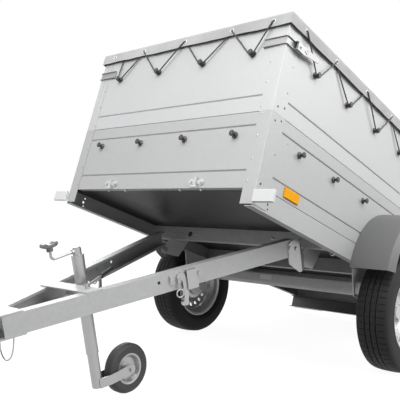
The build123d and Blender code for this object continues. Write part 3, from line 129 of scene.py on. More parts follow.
# %% The finish that holds the nodes
class Finish:
    """A material under construction."""

    def __init__(self, name, rough=0.5, metal=0.0, colour=(0.5, 0.5, 0.5), **sockets):
        self.material = bpy.data.materials.new(name)
        self.material.use_nodes = True
        self.tree = self.material.node_tree
        self.shader = self.tree.nodes["Principled BSDF"]
        self.feed(self.shader.inputs["Base Color"], colour)
        self.feed(self.shader.inputs["Roughness"], rough)
        self.feed(self.shader.inputs["Metallic"], metal)
        for name, value in sockets.items():
            self.feed(self.shader.inputs[name.replace("_", " ")], value)

    def feed(self, socket, value):
        """Links a field or a socket, or sets a plain value; a colour gets its alpha."""
        if isinstance(value, Field):
            value = value.socket
        if isinstance(value, bpy.types.NodeSocket):
            self.tree.links.new(value, socket)
        elif isinstance(value, tuple) and len(value) == 3 and len(socket.default_value) == 4:
            socket.default_value = (*value, 1.0)
        else:
            socket.default_value = value

    def node(self, kind, settings=None, **inputs):
        """A node with its settings made first, then its inputs fed by name or number."""
        made = self.tree.nodes.new(kind)
        for key, value in (settings or {}).items():
            if key == "stops":
                while len(made.color_ramp.elements) < len(value):
                    made.color_ramp.elements.new(1.0)
                for stop, (place, shade) in zip(made.color_ramp.elements, value):
                    stop.position = place
                    stop.color = (*shade, 1.0) if isinstance(shade, tuple) else (shade, shade, shade, 1.0)
            else:
                setattr(made, key, value)
        for key, value in inputs.items():
            socket = made.inputs[int(key[1:])] if key[0] == "_" else made.inputs[key.replace("_", " ")]
            self.feed(socket, value)
        return made

    def math(self, operation, first, second=0.0):
        made = self.node("ShaderNodeMath", {"operation": operation}, _0=first, _1=second)
        return Field(self, made.outputs[0])

    def place(self, scale=(1, 1, 1), tilt=0.0):
        """Object coordinates in metres, levelled with the bed or drawbar, then scaled."""
        where = self.node("ShaderNodeTexCoord").outputs["Object"]
        level = self.node("ShaderNodeMapping", Vector=where, Rotation=(tilt, 0, 0))
        return self.node("ShaderNodeMapping", Vector=level.outputs[0], Scale=scale).outputs[0]

    def noise(self, where, scale, detail=3.0, rough=0.5):
        made = self.node("ShaderNodeTexNoise", Vector=where, Scale=scale, Detail=detail, Roughness=rough)
        return Field(self, made.outputs["Fac"])

    def mix(self, amount, low, high):
        made = self.node("ShaderNodeMix", {"data_type": "RGBA"}, _0=amount, _6=low, _7=high)
        return made.outputs[2]

    def ramp(self, amount, *stops):
        made = self.node("ShaderNodeValToRGB", {"stops": stops}, Fac=amount)
        return Field(self, made.outputs[0])

    def bump(self, height, strength=0.2, distance=0.001):
        made = self.node("ShaderNodeBump", Height=height, Strength=strength, Distance=distance)
        self.feed(self.shader.inputs["Normal"], made.outputs[0])

    def colour(self, value):
        self.feed(self.shader.inputs["Base Color"], value)

    def rough(self, value):
        self.feed(self.shader.inputs["Roughness"], value)


# %% [markdown]
# ## Zinc in several qualities
# The boards are smooth sheet, coated before folding: satin, with faint rolling
# streaks and a very fine grain. Arms and plates were dipped after welding, so
# their zinc is duller, mottled and crystalline. The jack's tubes and the small
# fittings are plated: brighter and smoother. All are one recipe with different
# amounts of streak, crystal and cloud, which is easier to keep in step than a
# network of nodes for each.

# %% Zinc finishes
FLAKE_SCALE = 75.0  # crystals to the metre
CLOUD_SCALE = 3.1
GRAIN_SCALE = 420.0
GRAIN_DEPTH = 0.10
ROLLING = (0.6, 0.6, 190.0)  # long along the sheet and across it, fine up it


def zinc(name, tilt, level, rough, metal, crystal, cloud, streak=0.03):
    """Zinc surface: level is its grey, and crystal, cloud and streak are contrasts."""
    f = Finish(name, rough=rough, metal=metal)
    where = f.place(tilt=tilt)
    cells = f.node("ShaderNodeTexVoronoi", {"feature": "F1"}, Vector=where, Scale=FLAKE_SCALE, Randomness=1.0)
    tone = f.node("ShaderNodeSeparateColor", Color=cells.outputs["Color"]).outputs[0]
    flake = Field(f, tone)
    clouds = f.noise(where, CLOUD_SCALE, 4.0, 0.6)
    fine = f.noise(where, GRAIN_SCALE, 2.0)
    lines = f.noise(f.place(ROLLING, tilt), 2.0, 2.0)
    shade = 1.0 + (flake - 0.5) * crystal + (clouds - 0.5) * cloud + (lines - 0.5) * streak
    # Half the shade, on a ramp up to twice the grey, gives shade times grey, with a trace of blue.
    light = f.ramp(shade * 0.5, (0.0, 0.0), (1.0, (level * 2, level * 2.005, level * 2.015)))
    f.colour(light.socket)
    f.rough(rough + (flake - 0.5) * crystal + (fine - 0.5) * 0.08 + (clouds - 0.5) * 0.12)
    f.bump(fine * GRAIN_DEPTH + lines * streak, 0.25, 0.0006)
    return f.material


# name, levelling, grey, roughness, metal, crystal, cloud, streak
SHEET_ZINC = zinc("satin_sheet_zinc", -BED_TIP, 0.48, 0.50, 0.18, 0.025, 0.05, 0.02)
# The lower boards, posts and rails are the same sheet in a darker grey: painted shade, for the darker ground
# they face.
LOWER_SHEET_ZINC_PAINTED_SHADE = zinc("aged_sheet_zinc", -BED_TIP, 0.40, 0.50, 0.22, 0.03, 0.06, 0.02)
DIPPED_ZINC = zinc("hot_dipped_zinc", DRAWBAR_SLOPE, 0.41, 0.46, 0.45, 0.07, 0.14, 0.0)
DARK_ZINC = zinc("shaded_dipped_zinc", -BED_TIP, 0.48, 0.52, 0.15, 0.12, 0.2, 0.0)
PLATED_ZINC = zinc("plated_zinc", DRAWBAR_SLOPE, 0.40, 0.34, 0.75, 0.03, 0.10, 0.0)
LATCH_ZINC = zinc("latch_zinc", -BED_TIP, 0.33, 0.42, 0.5, 0.03, 0.2)
# A near-black zinc: on the lamp beam under the bed its darkness is painted shade; on the hook rivets it is
# their dull dark look.
DULL_ZINC_AND_PAINTED_SHADE = zinc("soiled_zinc", -BED_TIP, 0.10, 0.42, 0.55, 0.1, 0.5)
HINGE_ZINC = zinc("bright_zinc", -BED_TIP, 0.54, 0.36, 0.35, 0.03, 0.15)
EYELET_FINISH = zinc("eyelet_zinc", -BED_TIP, 0.72, 0.35, 0.2, 0.02, 0.1)
print("zinc finishes:", len(bpy.data.materials))


# %% [markdown]
# ## Plastics and rubber
# Moulded plastic has a fine leather grain, and rubber is matt and a little
# dusty. An image texture could show that, but noise in the object's own
# coordinates has no seams. Each finish varies its roughness a little, because
# an even gloss is what makes a surface look computed.

# %% Plastics and rubber
def grey(level, warm=0.0):
    """A grey with an optional trace of warmth."""
    return (level * (1 + warm), level, level * (1 - warm))


def moulded(name, colour, rough, grain=260.0, depth=0.35, dust=0.1, gloss=0.5):
    """Moulded plastic or rubber: a pebbled skin with paler, rougher dust on it."""
    f = Finish(name, rough=rough, colour=colour, Specular_IOR_Level=gloss)
    where = f.place()
    pebble = f.noise(where, grain, 2.0)
    dirt = f.noise(where, 7.0, 5.0, 0.65)
    pale = tuple(min(1.0, c + dust * 0.35) for c in colour)
    f.colour(f.mix(f.ramp(dirt, (0.42, 0.0), (0.8, dust * 4)), colour, pale))
    f.rough(rough + (dirt - 0.5) * 0.2 + (pebble - 0.5) * 0.1)
    f.bump(pebble, depth, 0.0004)
    return f.material


BLACK_PLASTIC = moulded("black_moulding", grey(0.018), 0.42, dust=0.05)
GUARD_PLASTIC = moulded("mudguard_moulding", grey(0.12), 0.5, 150.0, 0.25, 0.05)
TYRE_RUBBER = moulded("tyre_rubber", grey(0.016), 0.62, 300.0, 0.4, 0.05, gloss=0.2)
JACK_RUBBER = moulded("solid_rubber", grey(0.035), 0.6, 240.0, 0.3, 0.08)
HOOK_PLASTIC = moulded("hook_moulding", grey(0.035), 0.3, dust=0.08)
# The jack's knob is black plastic; its mid grey is a painted sheen for its glossy highlights.
KNOB_PLASTIC_PAINTED_SHEEN = moulded("knob_moulding", grey(0.14), 0.3, 200.0, 0.2, 0.06)
CORD_RUBBER = moulded("laced_cord", grey(0.03), 0.45, 500.0, 0.5, 0.03)
WHITE_PLASTIC = moulded("white_marker_lens", grey(0.62), 0.25, 90.0, 0.05, 0.0)
BLANK_PLATE = moulded("blank_plate", grey(0.8), 0.3, 60.0, 0.05, 0.02)
print("with plastics and rubber:", len(bpy.data.materials))


# %% [markdown]
# ## Lenses
# A reflector is a coloured lens with a pattern of small prisms behind its face,
# and a tail lamp has ribs, with an amber, a red and a clear field side by side.
# The fields could be separate solids. Splitting one lens by how far out a spot
# lies keeps it a single moulding, as it is on the real lamp.

# %% Lenses
PRISM = 0.006  # metres
AMBER_FROM = 0.505  # metres out from the trailer's middle
WINDOW_TO = 0.392
SEAM_HALF = 0.0012


def lens(name, colour):
    """A reflector: a saturated colour with a prism pattern and a low gloss."""
    f = Finish(name, rough=0.45, colour=colour, Specular_IOR_Level=0.12)
    where = f.place()
    prism = f.node("ShaderNodeTexVoronoi", {"feature": "DISTANCE_TO_EDGE"}, Vector=where, Scale=1 / PRISM)
    edge = f.ramp(Field(f, prism.outputs["Distance"]), (0.0, 0.0), (0.12, 1.0))
    deep = tuple(c * 0.72 for c in colour)
    f.colour(f.mix(edge, deep, colour))
    f.bump(edge, 0.2, 0.0004)
    return f.material


def lamp_lens():
    """Tail lamp: amber at its outer end, a clear window inside, red between, black seams between them."""
    f = Finish("tail_lamp", rough=0.28, Specular_IOR_Level=0.4)
    where = f.place(tilt=-BED_TIP)
    axes = f.node("ShaderNodeSeparateXYZ", Vector=where).outputs
    across = f.math("ABSOLUTE", Field(f, axes[0]))
    ribs = f.node("ShaderNodeTexWave", {"bands_direction": "X"}, Vector=where, Scale=60.0)
    red = f.mix(Field(f, ribs.outputs["Fac"]) * 0.5, (0.55, 0.008, 0.008), (0.33, 0.004, 0.004))
    fields = f.mix(f.math("GREATER_THAN", across, AMBER_FROM), red, (0.9, 0.26, 0.0))
    fields = f.mix(f.math("LESS_THAN", across, WINDOW_TO), fields, (0.7, 0.7, 0.72))
    gaps = 0.0
    for edge in (AMBER_FROM, WINDOW_TO):
        gaps = f.math("LESS_THAN", f.math("ABSOLUTE", across - edge), SEAM_HALF) + gaps
    f.colour(f.mix(gaps, fields, (0.02, 0.02, 0.02)))
    f.bump(Field(f, ribs.outputs["Fac"]), 0.25, 0.0005)
    return f.material


AMBER_LENS = lens("amber_reflector", (0.88, 0.38, 0.0))
LAMP_LENS = lamp_lens()
print("with lenses:", len(bpy.data.materials))


# %% [markdown]
# ## Paint, film-faced board and coated cloth
# The rims are silver paint under a thin coat of lacquer, the floor is plywood
# with a dark film pressed over a wire mesh, and the cover is woven cloth with a
# satin coating. Weave and mesh are far finer than the models' faces, so they
# are bumps in the finish and not shapes.

# %% Painted rim, film-faced floor and cloth
def rim_paint():
    """Silver paint with fine flake, and darker where brake dust lies."""
    f = Finish("silver_rim_paint", rough=0.32, metal=0.55, Coat_Weight=0.25)
    where = f.place()
    flake = f.noise(where, 900.0, 1.0)
    dust = f.noise(where, 9.0, 4.0)
    f.colour(f.mix(f.ramp(dust, (0.4, 0.0), (0.85, 0.5)), grey(0.56), grey(0.42, 0.03)))
    f.rough(0.30 + flake * 0.1 + dust * 0.12)
    f.bump(flake, 0.08, 0.0003)
    return f.material


def phenolic_board():
    """Dark film-faced plywood with its wire-mesh print, and lighter streaks painted in for its reflection."""
    f = Finish("film_faced_plywood", rough=0.3, Specular_IOR_Level=0.15)
    where = f.place(tilt=-BED_TIP)
    mesh = f.node("ShaderNodeTexVoronoi", {"feature": "DISTANCE_TO_EDGE"},
                  Vector=where, Scale=150.0, Randomness=0.1)
    imprint = f.ramp(Field(f, mesh.outputs["Distance"]), (0.0, 1.0), (0.1, 0.0))
    cloud = f.noise(where, 4.0, 4.0)
    streak = f.noise(f.place((9.0, 0.7, 1.0), -BED_TIP), 2.0, 3.0)
    # The lighter streaks in the colour are a painted reflection; the streaks in the roughness are the film's
    # own.
    f.colour(f.mix(f.ramp(streak, (0.3, 0.0), (0.7, 1.0)), grey(0.008, 0.1), grey(0.024, 0.1)))
    f.rough(0.24 + cloud * 0.2 + streak * 0.16)
    f.bump(imprint, 0.4, 0.0006)
    return f.material


def coated_cloth():
    """PVC-coated tarpaulin: a fine plain weave under a satin coating."""
    f = Finish("coated_tarpaulin", rough=0.5, colour=grey(0.39), Specular_IOR_Level=0.12)
    threads = []
    for direction in ("X", "Y", "Z"):
        wave = f.node("ShaderNodeTexWave", {"bands_direction": direction, "wave_profile": "SIN"},
                      Vector=f.place(tilt=-BED_TIP), Scale=95.0, Distortion=0.3)
        threads.append(Field(f, wave.outputs["Fac"]))
    weave = threads[0] * 0.34 + threads[1] * 0.33 + threads[2] * 0.33
    cloud = f.noise(f.place(), 5.0, 5.0, 0.6)
    crease = f.noise(f.place(), 26.0, 3.0, 0.6)
    f.colour(f.mix(f.ramp(cloud, (0.3, 0.0), (0.7, 1.0)), grey(0.34), grey(0.45)))
    f.rough(0.62 + (weave - 0.5) * 0.12 + (cloud - 0.5) * 0.2)
    f.bump(weave * 0.35 + crease * 1.3, 0.35, 0.0011)
    return f.material


RIM_PAINT = rim_paint()
FLOOR_BOARD = phenolic_board()
TARPAULIN = coated_cloth()
print("materials:", len(bpy.data.materials))

# %% [markdown]
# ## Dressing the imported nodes
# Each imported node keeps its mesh, and only the material in its slots changes.
# One table names the nodes with a finish of their own and another the kinds of
# node that share one, and all the rest is dipped zinc.

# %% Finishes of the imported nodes
NODE_FINISH = {
    "bed_floor": FLOOR_BOARD, "tarp": TARPAULIN, "tarp_lacing": CORD_RUBBER,
    "tarp_hooks": HOOK_PLASTIC, "tailgate_hooks": HOOK_PLASTIC, "jack_knob": KNOB_PLASTIC_PAINTED_SHEEN,
    "clamp_grip": BLACK_PLASTIC, "coupling_handle": BLACK_PLASTIC,
    "mudguard_left": GUARD_PLASTIC, "mudguard_right": GUARD_PLASTIC,
    "side_reflectors": AMBER_LENS, "rear_lamps": LAMP_LENS, "front_markers": WHITE_PLASTIC,
    "number_plate": BLANK_PLATE, "wheel_rim_left": RIM_PAINT, "wheel_rim_right": RIM_PAINT,
    "wheel_tyre_left": TYRE_RUBBER, "wheel_tyre_right": TYRE_RUBBER, "jack_tyre": JACK_RUBBER,
    # the lamp beam's near-black zinc is painted shade under the bed
    "safety_cable": PLATED_ZINC, "corner_latches": LATCH_ZINC, "light_beam": DULL_ZINC_AND_PAINTED_SHADE,
    "front_hinges": HINGE_ZINC, "pivot_brackets": EYELET_FINISH,
}
KIND_FINISH = (  # how names of that kind start, finish; the first that fits counts
    (("coupling", "jack_", "clamp_lever", "lock_brackets", "tailgate_leaves", "tailgate_straps",
      "pivot_plates"), PLATED_ZINC),
    (("extension", "upper_posts"), SHEET_ZINC),
    # the lower boards take the darker grey of sheet zinc, a painted shade
    (("front_board", "side_board", "tailgate", "lower_posts", "side_rail"), LOWER_SHEET_ZINC_PAINTED_SHADE),
    (("cross_members", "axle_"), DARK_ZINC),
)


def finish_of(node):
    """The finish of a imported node, by its name or its kind."""
    if node in NODE_FINISH:
        return NODE_FINISH[node]
    for starts, finish in KIND_FINISH:
        if node.startswith(starts):
            return finish
    return DIPPED_ZINC


for node, packed in frame["nodes"].items():
    for slot in packed.material_slots:
        slot.material = finish_of(node)
print("dressed", len(frame["nodes"]), "nodes")

# %% [markdown]
# ## Floor, background and light
# A plain white studio. The camera, mirrors and glass see a white surround; what
# lights the trailer is set apart from it, so the background can be white
# without burning out the metal. A sky texture could give the light as well, but
# five square lamps, like a studio's softboxes, can each be moved and dimmed.

# %% A shader that only some rays see
def only_seen(tree, seen, lit):
    """Mixes two shaders: seen by camera, mirror and glass rays, lit by the rest."""
    path = tree.nodes.new("ShaderNodeLightPath")
    either = None
    for ray in ("Is Camera Ray", "Is Glossy Ray", "Is Transmission Ray"):
        if either is None:
            either = path.outputs[ray]
            continue
        larger = tree.nodes.new("ShaderNodeMath")
        larger.operation = "MAXIMUM"
        tree.links.new(either, larger.inputs[0])
        tree.links.new(path.outputs[ray], larger.inputs[1])
        either = larger.outputs[0]
    choice = tree.nodes.new("ShaderNodeMixShader")
    tree.links.new(either, choice.inputs[0])
    tree.links.new(lit, choice.inputs[1])
    tree.links.new(seen, choice.inputs[2])
    return choice.outputs[0]


# %% White surround
AMBIENT = 0.45
world = bpy.data.worlds.new("studio")
world.use_nodes = True
bpy.context.scene.world = world
sky = world.node_tree
white = sky.nodes["Background"]
white.inputs["Color"].default_value = (1, 1, 1, 1)
white.inputs["Strength"].default_value = 1.0
ambient = sky.nodes.new("ShaderNodeBackground")
ambient.inputs["Color"].default_value = (0.96, 0.98, 1.0, 1)
ambient.inputs["Strength"].default_value = AMBIENT
shown = only_seen(sky, white.outputs[0], ambient.outputs[0])
sky.links.new(shown, sky.nodes["World Output"].inputs["Surface"])
print("surround:", len(sky.nodes), "nodes")

# %% Studio floor
FLOOR_GREY = 0.14
FLOOR_GLOW = 0.95
FLOOR_UNSEEN = 0.10  # the floor's grey to the rays that only light
FLOOR_SPAN = 40.0
bpy.ops.object.select_all(action="DESELECT")
bpy.ops.mesh.primitive_plane_add(size=FLOOR_SPAN)
floor = bpy.context.active_object
floor.name = "studio_floor"
paving = bpy.data.materials.new("studio_floor")
paving.use_nodes = True
nodes = paving.node_tree.nodes
links = paving.node_tree.links
nodes.remove(nodes["Principled BSDF"])
matt = nodes.new("ShaderNodeBsdfDiffuse")
matt.inputs["Color"].default_value = (*grey(FLOOR_GREY), 1)
glow = nodes.new("ShaderNodeEmission")
glow.inputs["Strength"].default_value = FLOOR_GLOW
both = nodes.new("ShaderNodeAddShader")
links.new(matt.outputs[0], both.inputs[0])
links.new(glow.outputs[0], both.inputs[1])
dim = nodes.new("ShaderNodeBsdfDiffuse")
dim.inputs["Color"].default_value = (*grey(FLOOR_UNSEEN), 1)
floor_shader = only_seen(paving.node_tree, both.outputs[0], dim.outputs[0])
links.new(floor_shader, nodes["Material Output"].inputs["Surface"])
floor.data.materials.append(paving)
print("floor:", FLOOR_SPAN, "m wide,", len(nodes), "nodes")

# %% Lamps
LAMPS = (  # name, place, aim, width in metres, watts
    ("overhead", (0.6, -0.6, 5.5), (0, 0, 0.4), 5.0, 115),
    ("left_side", (4.5, 0.5, 3.8), (0.4, 0.1, 0.9), 4.2, 240),
    ("left_rear", (4.6, 4.4, 3.0), (0.5, 0.2, 0.9), 1.8, 100),
    ("front_fill", (0.2, -3.1, 3.2), (0, -1.1, 0.7), 2.4, 116),
    ("right_fill", (-4.5, 1.5, 2.6), (0, 0.2, 0.7), 2.6, 70),
)


def softbox(name, place, aim, size, watts):
    """A square area lamp at a place, turned to its aim."""
    data = bpy.data.lights.new(name, "AREA")
    data.shape = "SQUARE"
    data.size = size
    data.energy = watts
    lamp = bpy.data.objects.new(name, data)
    bpy.context.collection.objects.link(lamp)
    lamp.location = place
    lamp.rotation_euler = (Vector(aim) - Vector(place)).to_track_quat("-Z", "Y").to_euler()


for facts in LAMPS:
    softbox(*facts)
print("lamps:", [lamp.name for lamp in bpy.data.lights])

# %% [markdown]
# ## Safety cable
# A wire cable hangs in a loop under the drawbar's nose and catches the trailer
# if the coupling fails. A swept mesh could show it, but a curve with a round
# bevel is smoother and keeps its length easy to check. Its control points
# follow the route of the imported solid.

# %% Safety cable
CABLE_RADIUS = 2.5
CABLE_EXIT_Y = -1172.0
CABLE_TOP = 21.0
CABLE_DROPS = (  # sideways from the middle, down from the top
    (46, 0), (46, 20), (43, 48), (30, 76), (0, 92), (-30, 76), (-43, 48), (-46, 20), (-46, 0),
)


def smooth_cable(name, points, radius, finish, body):
    """A round NURBS cable with the given control points, in metres."""
    data = bpy.data.curves.new(name, "CURVE")
    data.dimensions = "3D"
    data.bevel_depth = radius
    data.bevel_resolution = 4
    data.use_fill_caps = True
    spline = data.splines.new("NURBS")
    spline.points.add(len(points) - 1)
    for point, place in zip(spline.points, points):
        point.co = (*place, 1)
    spline.order_u = 3
    spline.use_endpoint_u = True
    spline.resolution_u = 12
    data.materials.append(finish)
    cable = bpy.data.objects.new(name, data)
    bpy.context.collection.objects.link(cable)
    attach(cable, body)
    return cable


lean = math.tan(DRAWBAR_SLOPE)
route = [DRAWBAR @ Vector((x, CABLE_EXIT_Y - drop * lean, CABLE_TOP - drop)) for x, drop in CABLE_DROPS]
breakaway = smooth_cable("breakaway_cable", route, CABLE_RADIUS / 1000, PLATED_ZINC, "drawbar")
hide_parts("safety_cable")
print("cable points:", len(route))

# %% [markdown]
# ## Modelling by hand, in code
# Every added piece starts from a primitive, is shaped with the edit-mode tools
# and is then carried from its working frame to its place. Small helpers cover
# the steps that repeat. The first ones select, because an operator acts on all
# that is selected, so the choice has to be made afresh each time.

# %% Selecting
def fresh():
    """Object mode with nothing selected."""
    if bpy.context.object is not None and bpy.context.object.mode != "OBJECT":
        bpy.ops.object.mode_set(mode="OBJECT")
    bpy.ops.object.select_all(action="DESELECT")


def only(piece):
    """Makes one object the only selected and the active one."""
    fresh()
    piece.select_set(True)
    bpy.context.view_layer.objects.active = piece


def pick(piece, kind, test):
    """Opens edit mode with the faces, edges or verts selected that pass a test."""
    only(piece)
    bpy.ops.object.mode_set(mode="EDIT")
    bpy.ops.mesh.select_mode(type={"faces": "FACE", "edges": "EDGE", "verts": "VERT"}[kind])
    bpy.ops.mesh.select_all(action="DESELECT")
    mesh = bmesh.from_edit_mesh(piece.data)
    for item in getattr(mesh, kind):
        if kind == "faces":
            chosen = test(item.calc_center_median(), item.normal)
        elif kind == "edges":
            chosen = test(item.verts[0].co, item.verts[1].co)
        else:
            chosen = test(item.co)
        if chosen:
            item.select_set(True)
    mesh.select_flush_mode()
    bmesh.update_edit_mesh(piece.data)


# %% Finishing a mesh
def freeze(piece):
    """Makes a piece's place, turn and size part of its mesh."""
    only(piece)
    bpy.ops.object.transform_apply(location=True, rotation=True, scale=True)


def modify(piece, kind, **settings):
    """Adds a modifier and applies it."""
    only(piece)
    modifier = piece.modifiers.new(kind.lower(), kind)
    for key, value in settings.items():
        setattr(modifier, key, value)
    bpy.ops.object.modifier_apply(modifier=modifier.name)


def join(parts):
    """Joins objects into the first of them."""
    fresh()
    for part in parts:
        part.select_set(True)
    bpy.context.view_layer.objects.active = parts[0]
    bpy.ops.object.join()
    return bpy.context.active_object


# %% Copying and placing
def facing(place, out):
    """A working-frame matrix at a place, its z axis along a direction."""
    return Matrix.Translation(place) @ Vector(out).to_track_quat("Z", "Y").to_matrix().to_4x4()


def repeat(model, places):
    """Joins copies of a model, one at each place, into one object."""
    twins = []
    for place in places:
        twin = model.copy()
        twin.data = model.data.copy()
        twin.matrix_world = place @ model.matrix_world
        bpy.context.collection.objects.link(twin)
        twins.append(twin)
    joined = join(twins)
    bpy.data.objects.remove(model)
    return joined


def settle(piece, name, working, finish, body, smooth=35.0):
    """Carries a piece from its working frame to its place and seats it on a body."""
    freeze(piece)
    piece.data.transform(working)
    bpy.ops.object.shade_smooth_by_angle(angle=math.radians(smooth))
    piece.name = name
    piece.data.name = name
    piece.data.materials.clear()
    piece.data.materials.append(finish)
    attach(piece, body)
    print(name, len(piece.data.polygons), "faces")


# %% [markdown]
# ## Tarpaulin
# The cover is one sheet of coated cloth: it lies on the boards' top edges, sags
# a little between them and turns down into a skirt that the lacing pulls in at
# each eyelet. A grid gives the flat top, its rim is extruded over the edge in
# steps, and the vertices are then moved as gravity and the cord would move them.
# Solidify gives it the thickness of real tarpaulin and cutters open the eyelets.

# %% The cover's flat top
CLOTH_TOP = 939.6
SKIRT_OUT = 12.0  # middle of the cloth, out from the boards
CORNER_STEPS = ((2.4, 0.5), (2.2, 1.8), (1.2, 3.6))  # out and down, round the fold
MIDDLE = (FRONT + REAR) / 2
HALF_LENGTH = (REAR - FRONT) / 2
fold_width = sum(out for out, _ in CORNER_STEPS)
inner_x = HALF + SKIRT_OUT - fold_width
inner_y = HALF_LENGTH + SKIRT_OUT - fold_width
fresh()
bpy.ops.mesh.primitive_grid_add(x_subdivisions=44, y_subdivisions=84, size=2, location=(0, MIDDLE, CLOTH_TOP))
cover = bpy.context.active_object
cover.scale = (inner_x, inner_y, 1)
freeze(cover)
print("flat top:", len(cover.data.polygons), "faces")

# %% Its fold and skirt
SKIRT_HEM = 889.5
SKIRT_ROWS = 7
reach_x, reach_y, level = inner_x, inner_y, CLOTH_TOP


def on_rim(spot):
    """Whether a vertex lies on the cover's lowest, outermost ring."""
    return max(abs(spot.x) / reach_x, abs(spot.y - MIDDLE) / reach_y) > 0.99999 and spot.z - level < 0.01


def extrude_rim(out, down):
    """Extrudes the cover's open rim outwards and down by given amounts."""
    global reach_x, reach_y, level
    pick(cover, "edges", lambda a, b: on_rim(a) and on_rim(b))
    bpy.ops.mesh.extrude_region_move(TRANSFORM_OT_translate={"value": (0, 0, -down)})
    bpy.ops.transform.resize(value=((reach_x + out) / reach_x, (reach_y + out) / reach_y, 1),
                             center_override=(0, MIDDLE, level))
    reach_x += out
    reach_y += out
    level -= down


for out, down in CORNER_STEPS:
    extrude_rim(out, down)
skirt_top = level
for row in range(SKIRT_ROWS):
    extrude_rim(0.0, (skirt_top - SKIRT_HEM) / SKIRT_ROWS)
fresh()
print("flat cover and skirt:", len(cover.data.polygons), "faces")


# %% The cloth's sag, waves and creases
CLOTH_THICK = 1.6
END_EYELETS = (-482.0, -270.0, 0.0, 270.0, 482.0)
SIDE_EYELETS = (-1001.0, -751.0, -462.0, -191.0, 84.0, 364.0, 643.0, 900.0)
TOP_SAG = 9.0
SAG_REACH = 260.0  # how far in from the rim the full sag is reached
BELLY = 2.6
HEM_LIFT = 3.0
CORNER_TUCK = 1.4
TUCK_REACH = 50.0
CORNER_SPAN = 120.0  # from a wall's last eyelet to where its wave ends
WAVE_SCALE = 0.008
CREASE_SCALE = 0.021
CREASE_SHIFT = Vector((5, 9, 2))  # keeps the creases apart from the waves


def nearest_span(along, eyelets):
    """0 at an eyelet, 1 midway between two."""
    marks = (eyelets[0] - CORNER_SPAN, *eyelets, eyelets[-1] + CORNER_SPAN)
    for left_mark, right_mark in zip(marks, marks[1:]):
        if left_mark <= along <= right_mark:
            return math.sin(math.pi * (along - left_mark) / (right_mark - left_mark)) ** 2
    return 0.3


def drape(place):
    """How cloth at a place hangs: gives its move in millimetres."""
    x, y, z = place
    soft = noise.noise(Vector((x, y, z * 0.4)) * WAVE_SCALE)
    fine = noise.noise(Vector((x * 1.1, y * 1.1, z * 0.3)) * CREASE_SCALE + CREASE_SHIFT)
    drop = min(1.0, max(0.0, (CLOTH_TOP - z) / (CLOTH_TOP - SKIRT_HEM)))
    if drop < 0.02:
        inside = min((inner_x - abs(x)) / SAG_REACH, (inner_y - abs(y - MIDDLE)) / SAG_REACH)
        sag = max(0.0, min(1.0, inside))
        return Vector((0, 0, -TOP_SAG * sag * sag * (3 - 2 * sag) + 1.2 * sag * (soft + fine)))
    if abs(x) - HALF > abs(y - MIDDLE) - HALF_LENGTH:
        way = Vector((math.copysign(1, x), 0, 0))
        belly = nearest_span(y, SIDE_EYELETS)
        to_corner = HALF_LENGTH + SKIRT_OUT - abs(y - MIDDLE)
    else:
        way = Vector((0, math.copysign(1, y - MIDDLE), 0))
        belly = nearest_span(x, END_EYELETS)
        to_corner = HALF + SKIRT_OUT - abs(x)
    edge = max(0.0, 1 - to_corner / TUCK_REACH)
    swell = drop * (BELLY * belly + 0.9 * soft + 0.7 * fine) * (1 - edge)
    tuck = CORNER_TUCK * edge * drop * (1 - edge) * 4
    hem = drop ** 3 * (-HEM_LIFT * belly + 2.2 * soft + 1.2 * fine)
    return way * (swell + tuck) + Vector((0, 0, hem))


for vertex in cover.data.vertices:
    vertex.co += drape(vertex.co)
modify(cover, "SOLIDIFY", thickness=CLOTH_THICK, offset=0.0)
print("draped cover:", len(cover.data.vertices), "vertices")

# %% Places of the eyelets
EYELET_Z = 913.0
HOLE_RADIUS = 6.0
WALLS = (  # a spot on a wall's face, direction along it, direction out of it, eyelets along it
    (Vector((0, FRONT, 0)), Vector((1, 0, 0)), Vector((0, -1, 0)), END_EYELETS),
    (Vector((HALF, 0, 0)), Vector((0, 1, 0)), Vector((1, 0, 0)), SIDE_EYELETS),
    (Vector((0, REAR, 0)), Vector((-1, 0, 0)), Vector((0, 1, 0)), END_EYELETS),
    (Vector((-HALF, 0, 0)), Vector((0, 1, 0)), Vector((-1, 0, 0)), SIDE_EYELETS),
)
eyelet_places = []
for base, along, out, eyelets in WALLS:
    for distance in eyelets:
        spot = base + along * distance + out * (SKIRT_OUT + 0.1) + Vector((0, 0, EYELET_Z))
        eyelet_places.append(facing(spot, out))

fresh()
bpy.ops.mesh.primitive_cylinder_add(vertices=20, radius=HOLE_RADIUS, depth=12.0)
cutters = repeat(bpy.context.active_object, eyelet_places)
modify(cover, "BOOLEAN", operation="DIFFERENCE", object=cutters, solver="EXACT")
bpy.data.objects.remove(cutters)
settle(cover, "tarp_cover", BED, TARPAULIN, "bed", 50)
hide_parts("tarp")

# %% [markdown]
# ## Eyelet rings
# An eyelet is a metal ring clinched through the cloth, so it is round in
# section and a little flat. A torus, squashed along its axis, has that shape,
# and one model copied to each hole keeps all of them alike.

# %% Eyelet rings
RING_RADIUS = 7.9
RING_SECTION = 2.3
RING_FLAT = 0.75
fresh()
bpy.ops.mesh.primitive_torus_add(major_radius=RING_RADIUS, minor_radius=RING_SECTION,
                                 major_segments=28, minor_segments=10)
ring = bpy.context.active_object
ring.scale = (1, 1, RING_FLAT)
eyelets = repeat(ring, eyelet_places)
settle(eyelets, "tarp_eyelets", BED, EYELET_FINISH, "bed")

# %% [markdown]
# ## Road tyres
# A car-size trailer tyre has three grooves round it, sipes across its shoulders
# and short cuts in its ribs. One pitch of the tread is spun from the tyre's
# section in two turns, a block and then a sipe whose faces are pushed in. The
# pitch is copied round the wheel and welded, which keeps the pattern exact and
# the face count low.

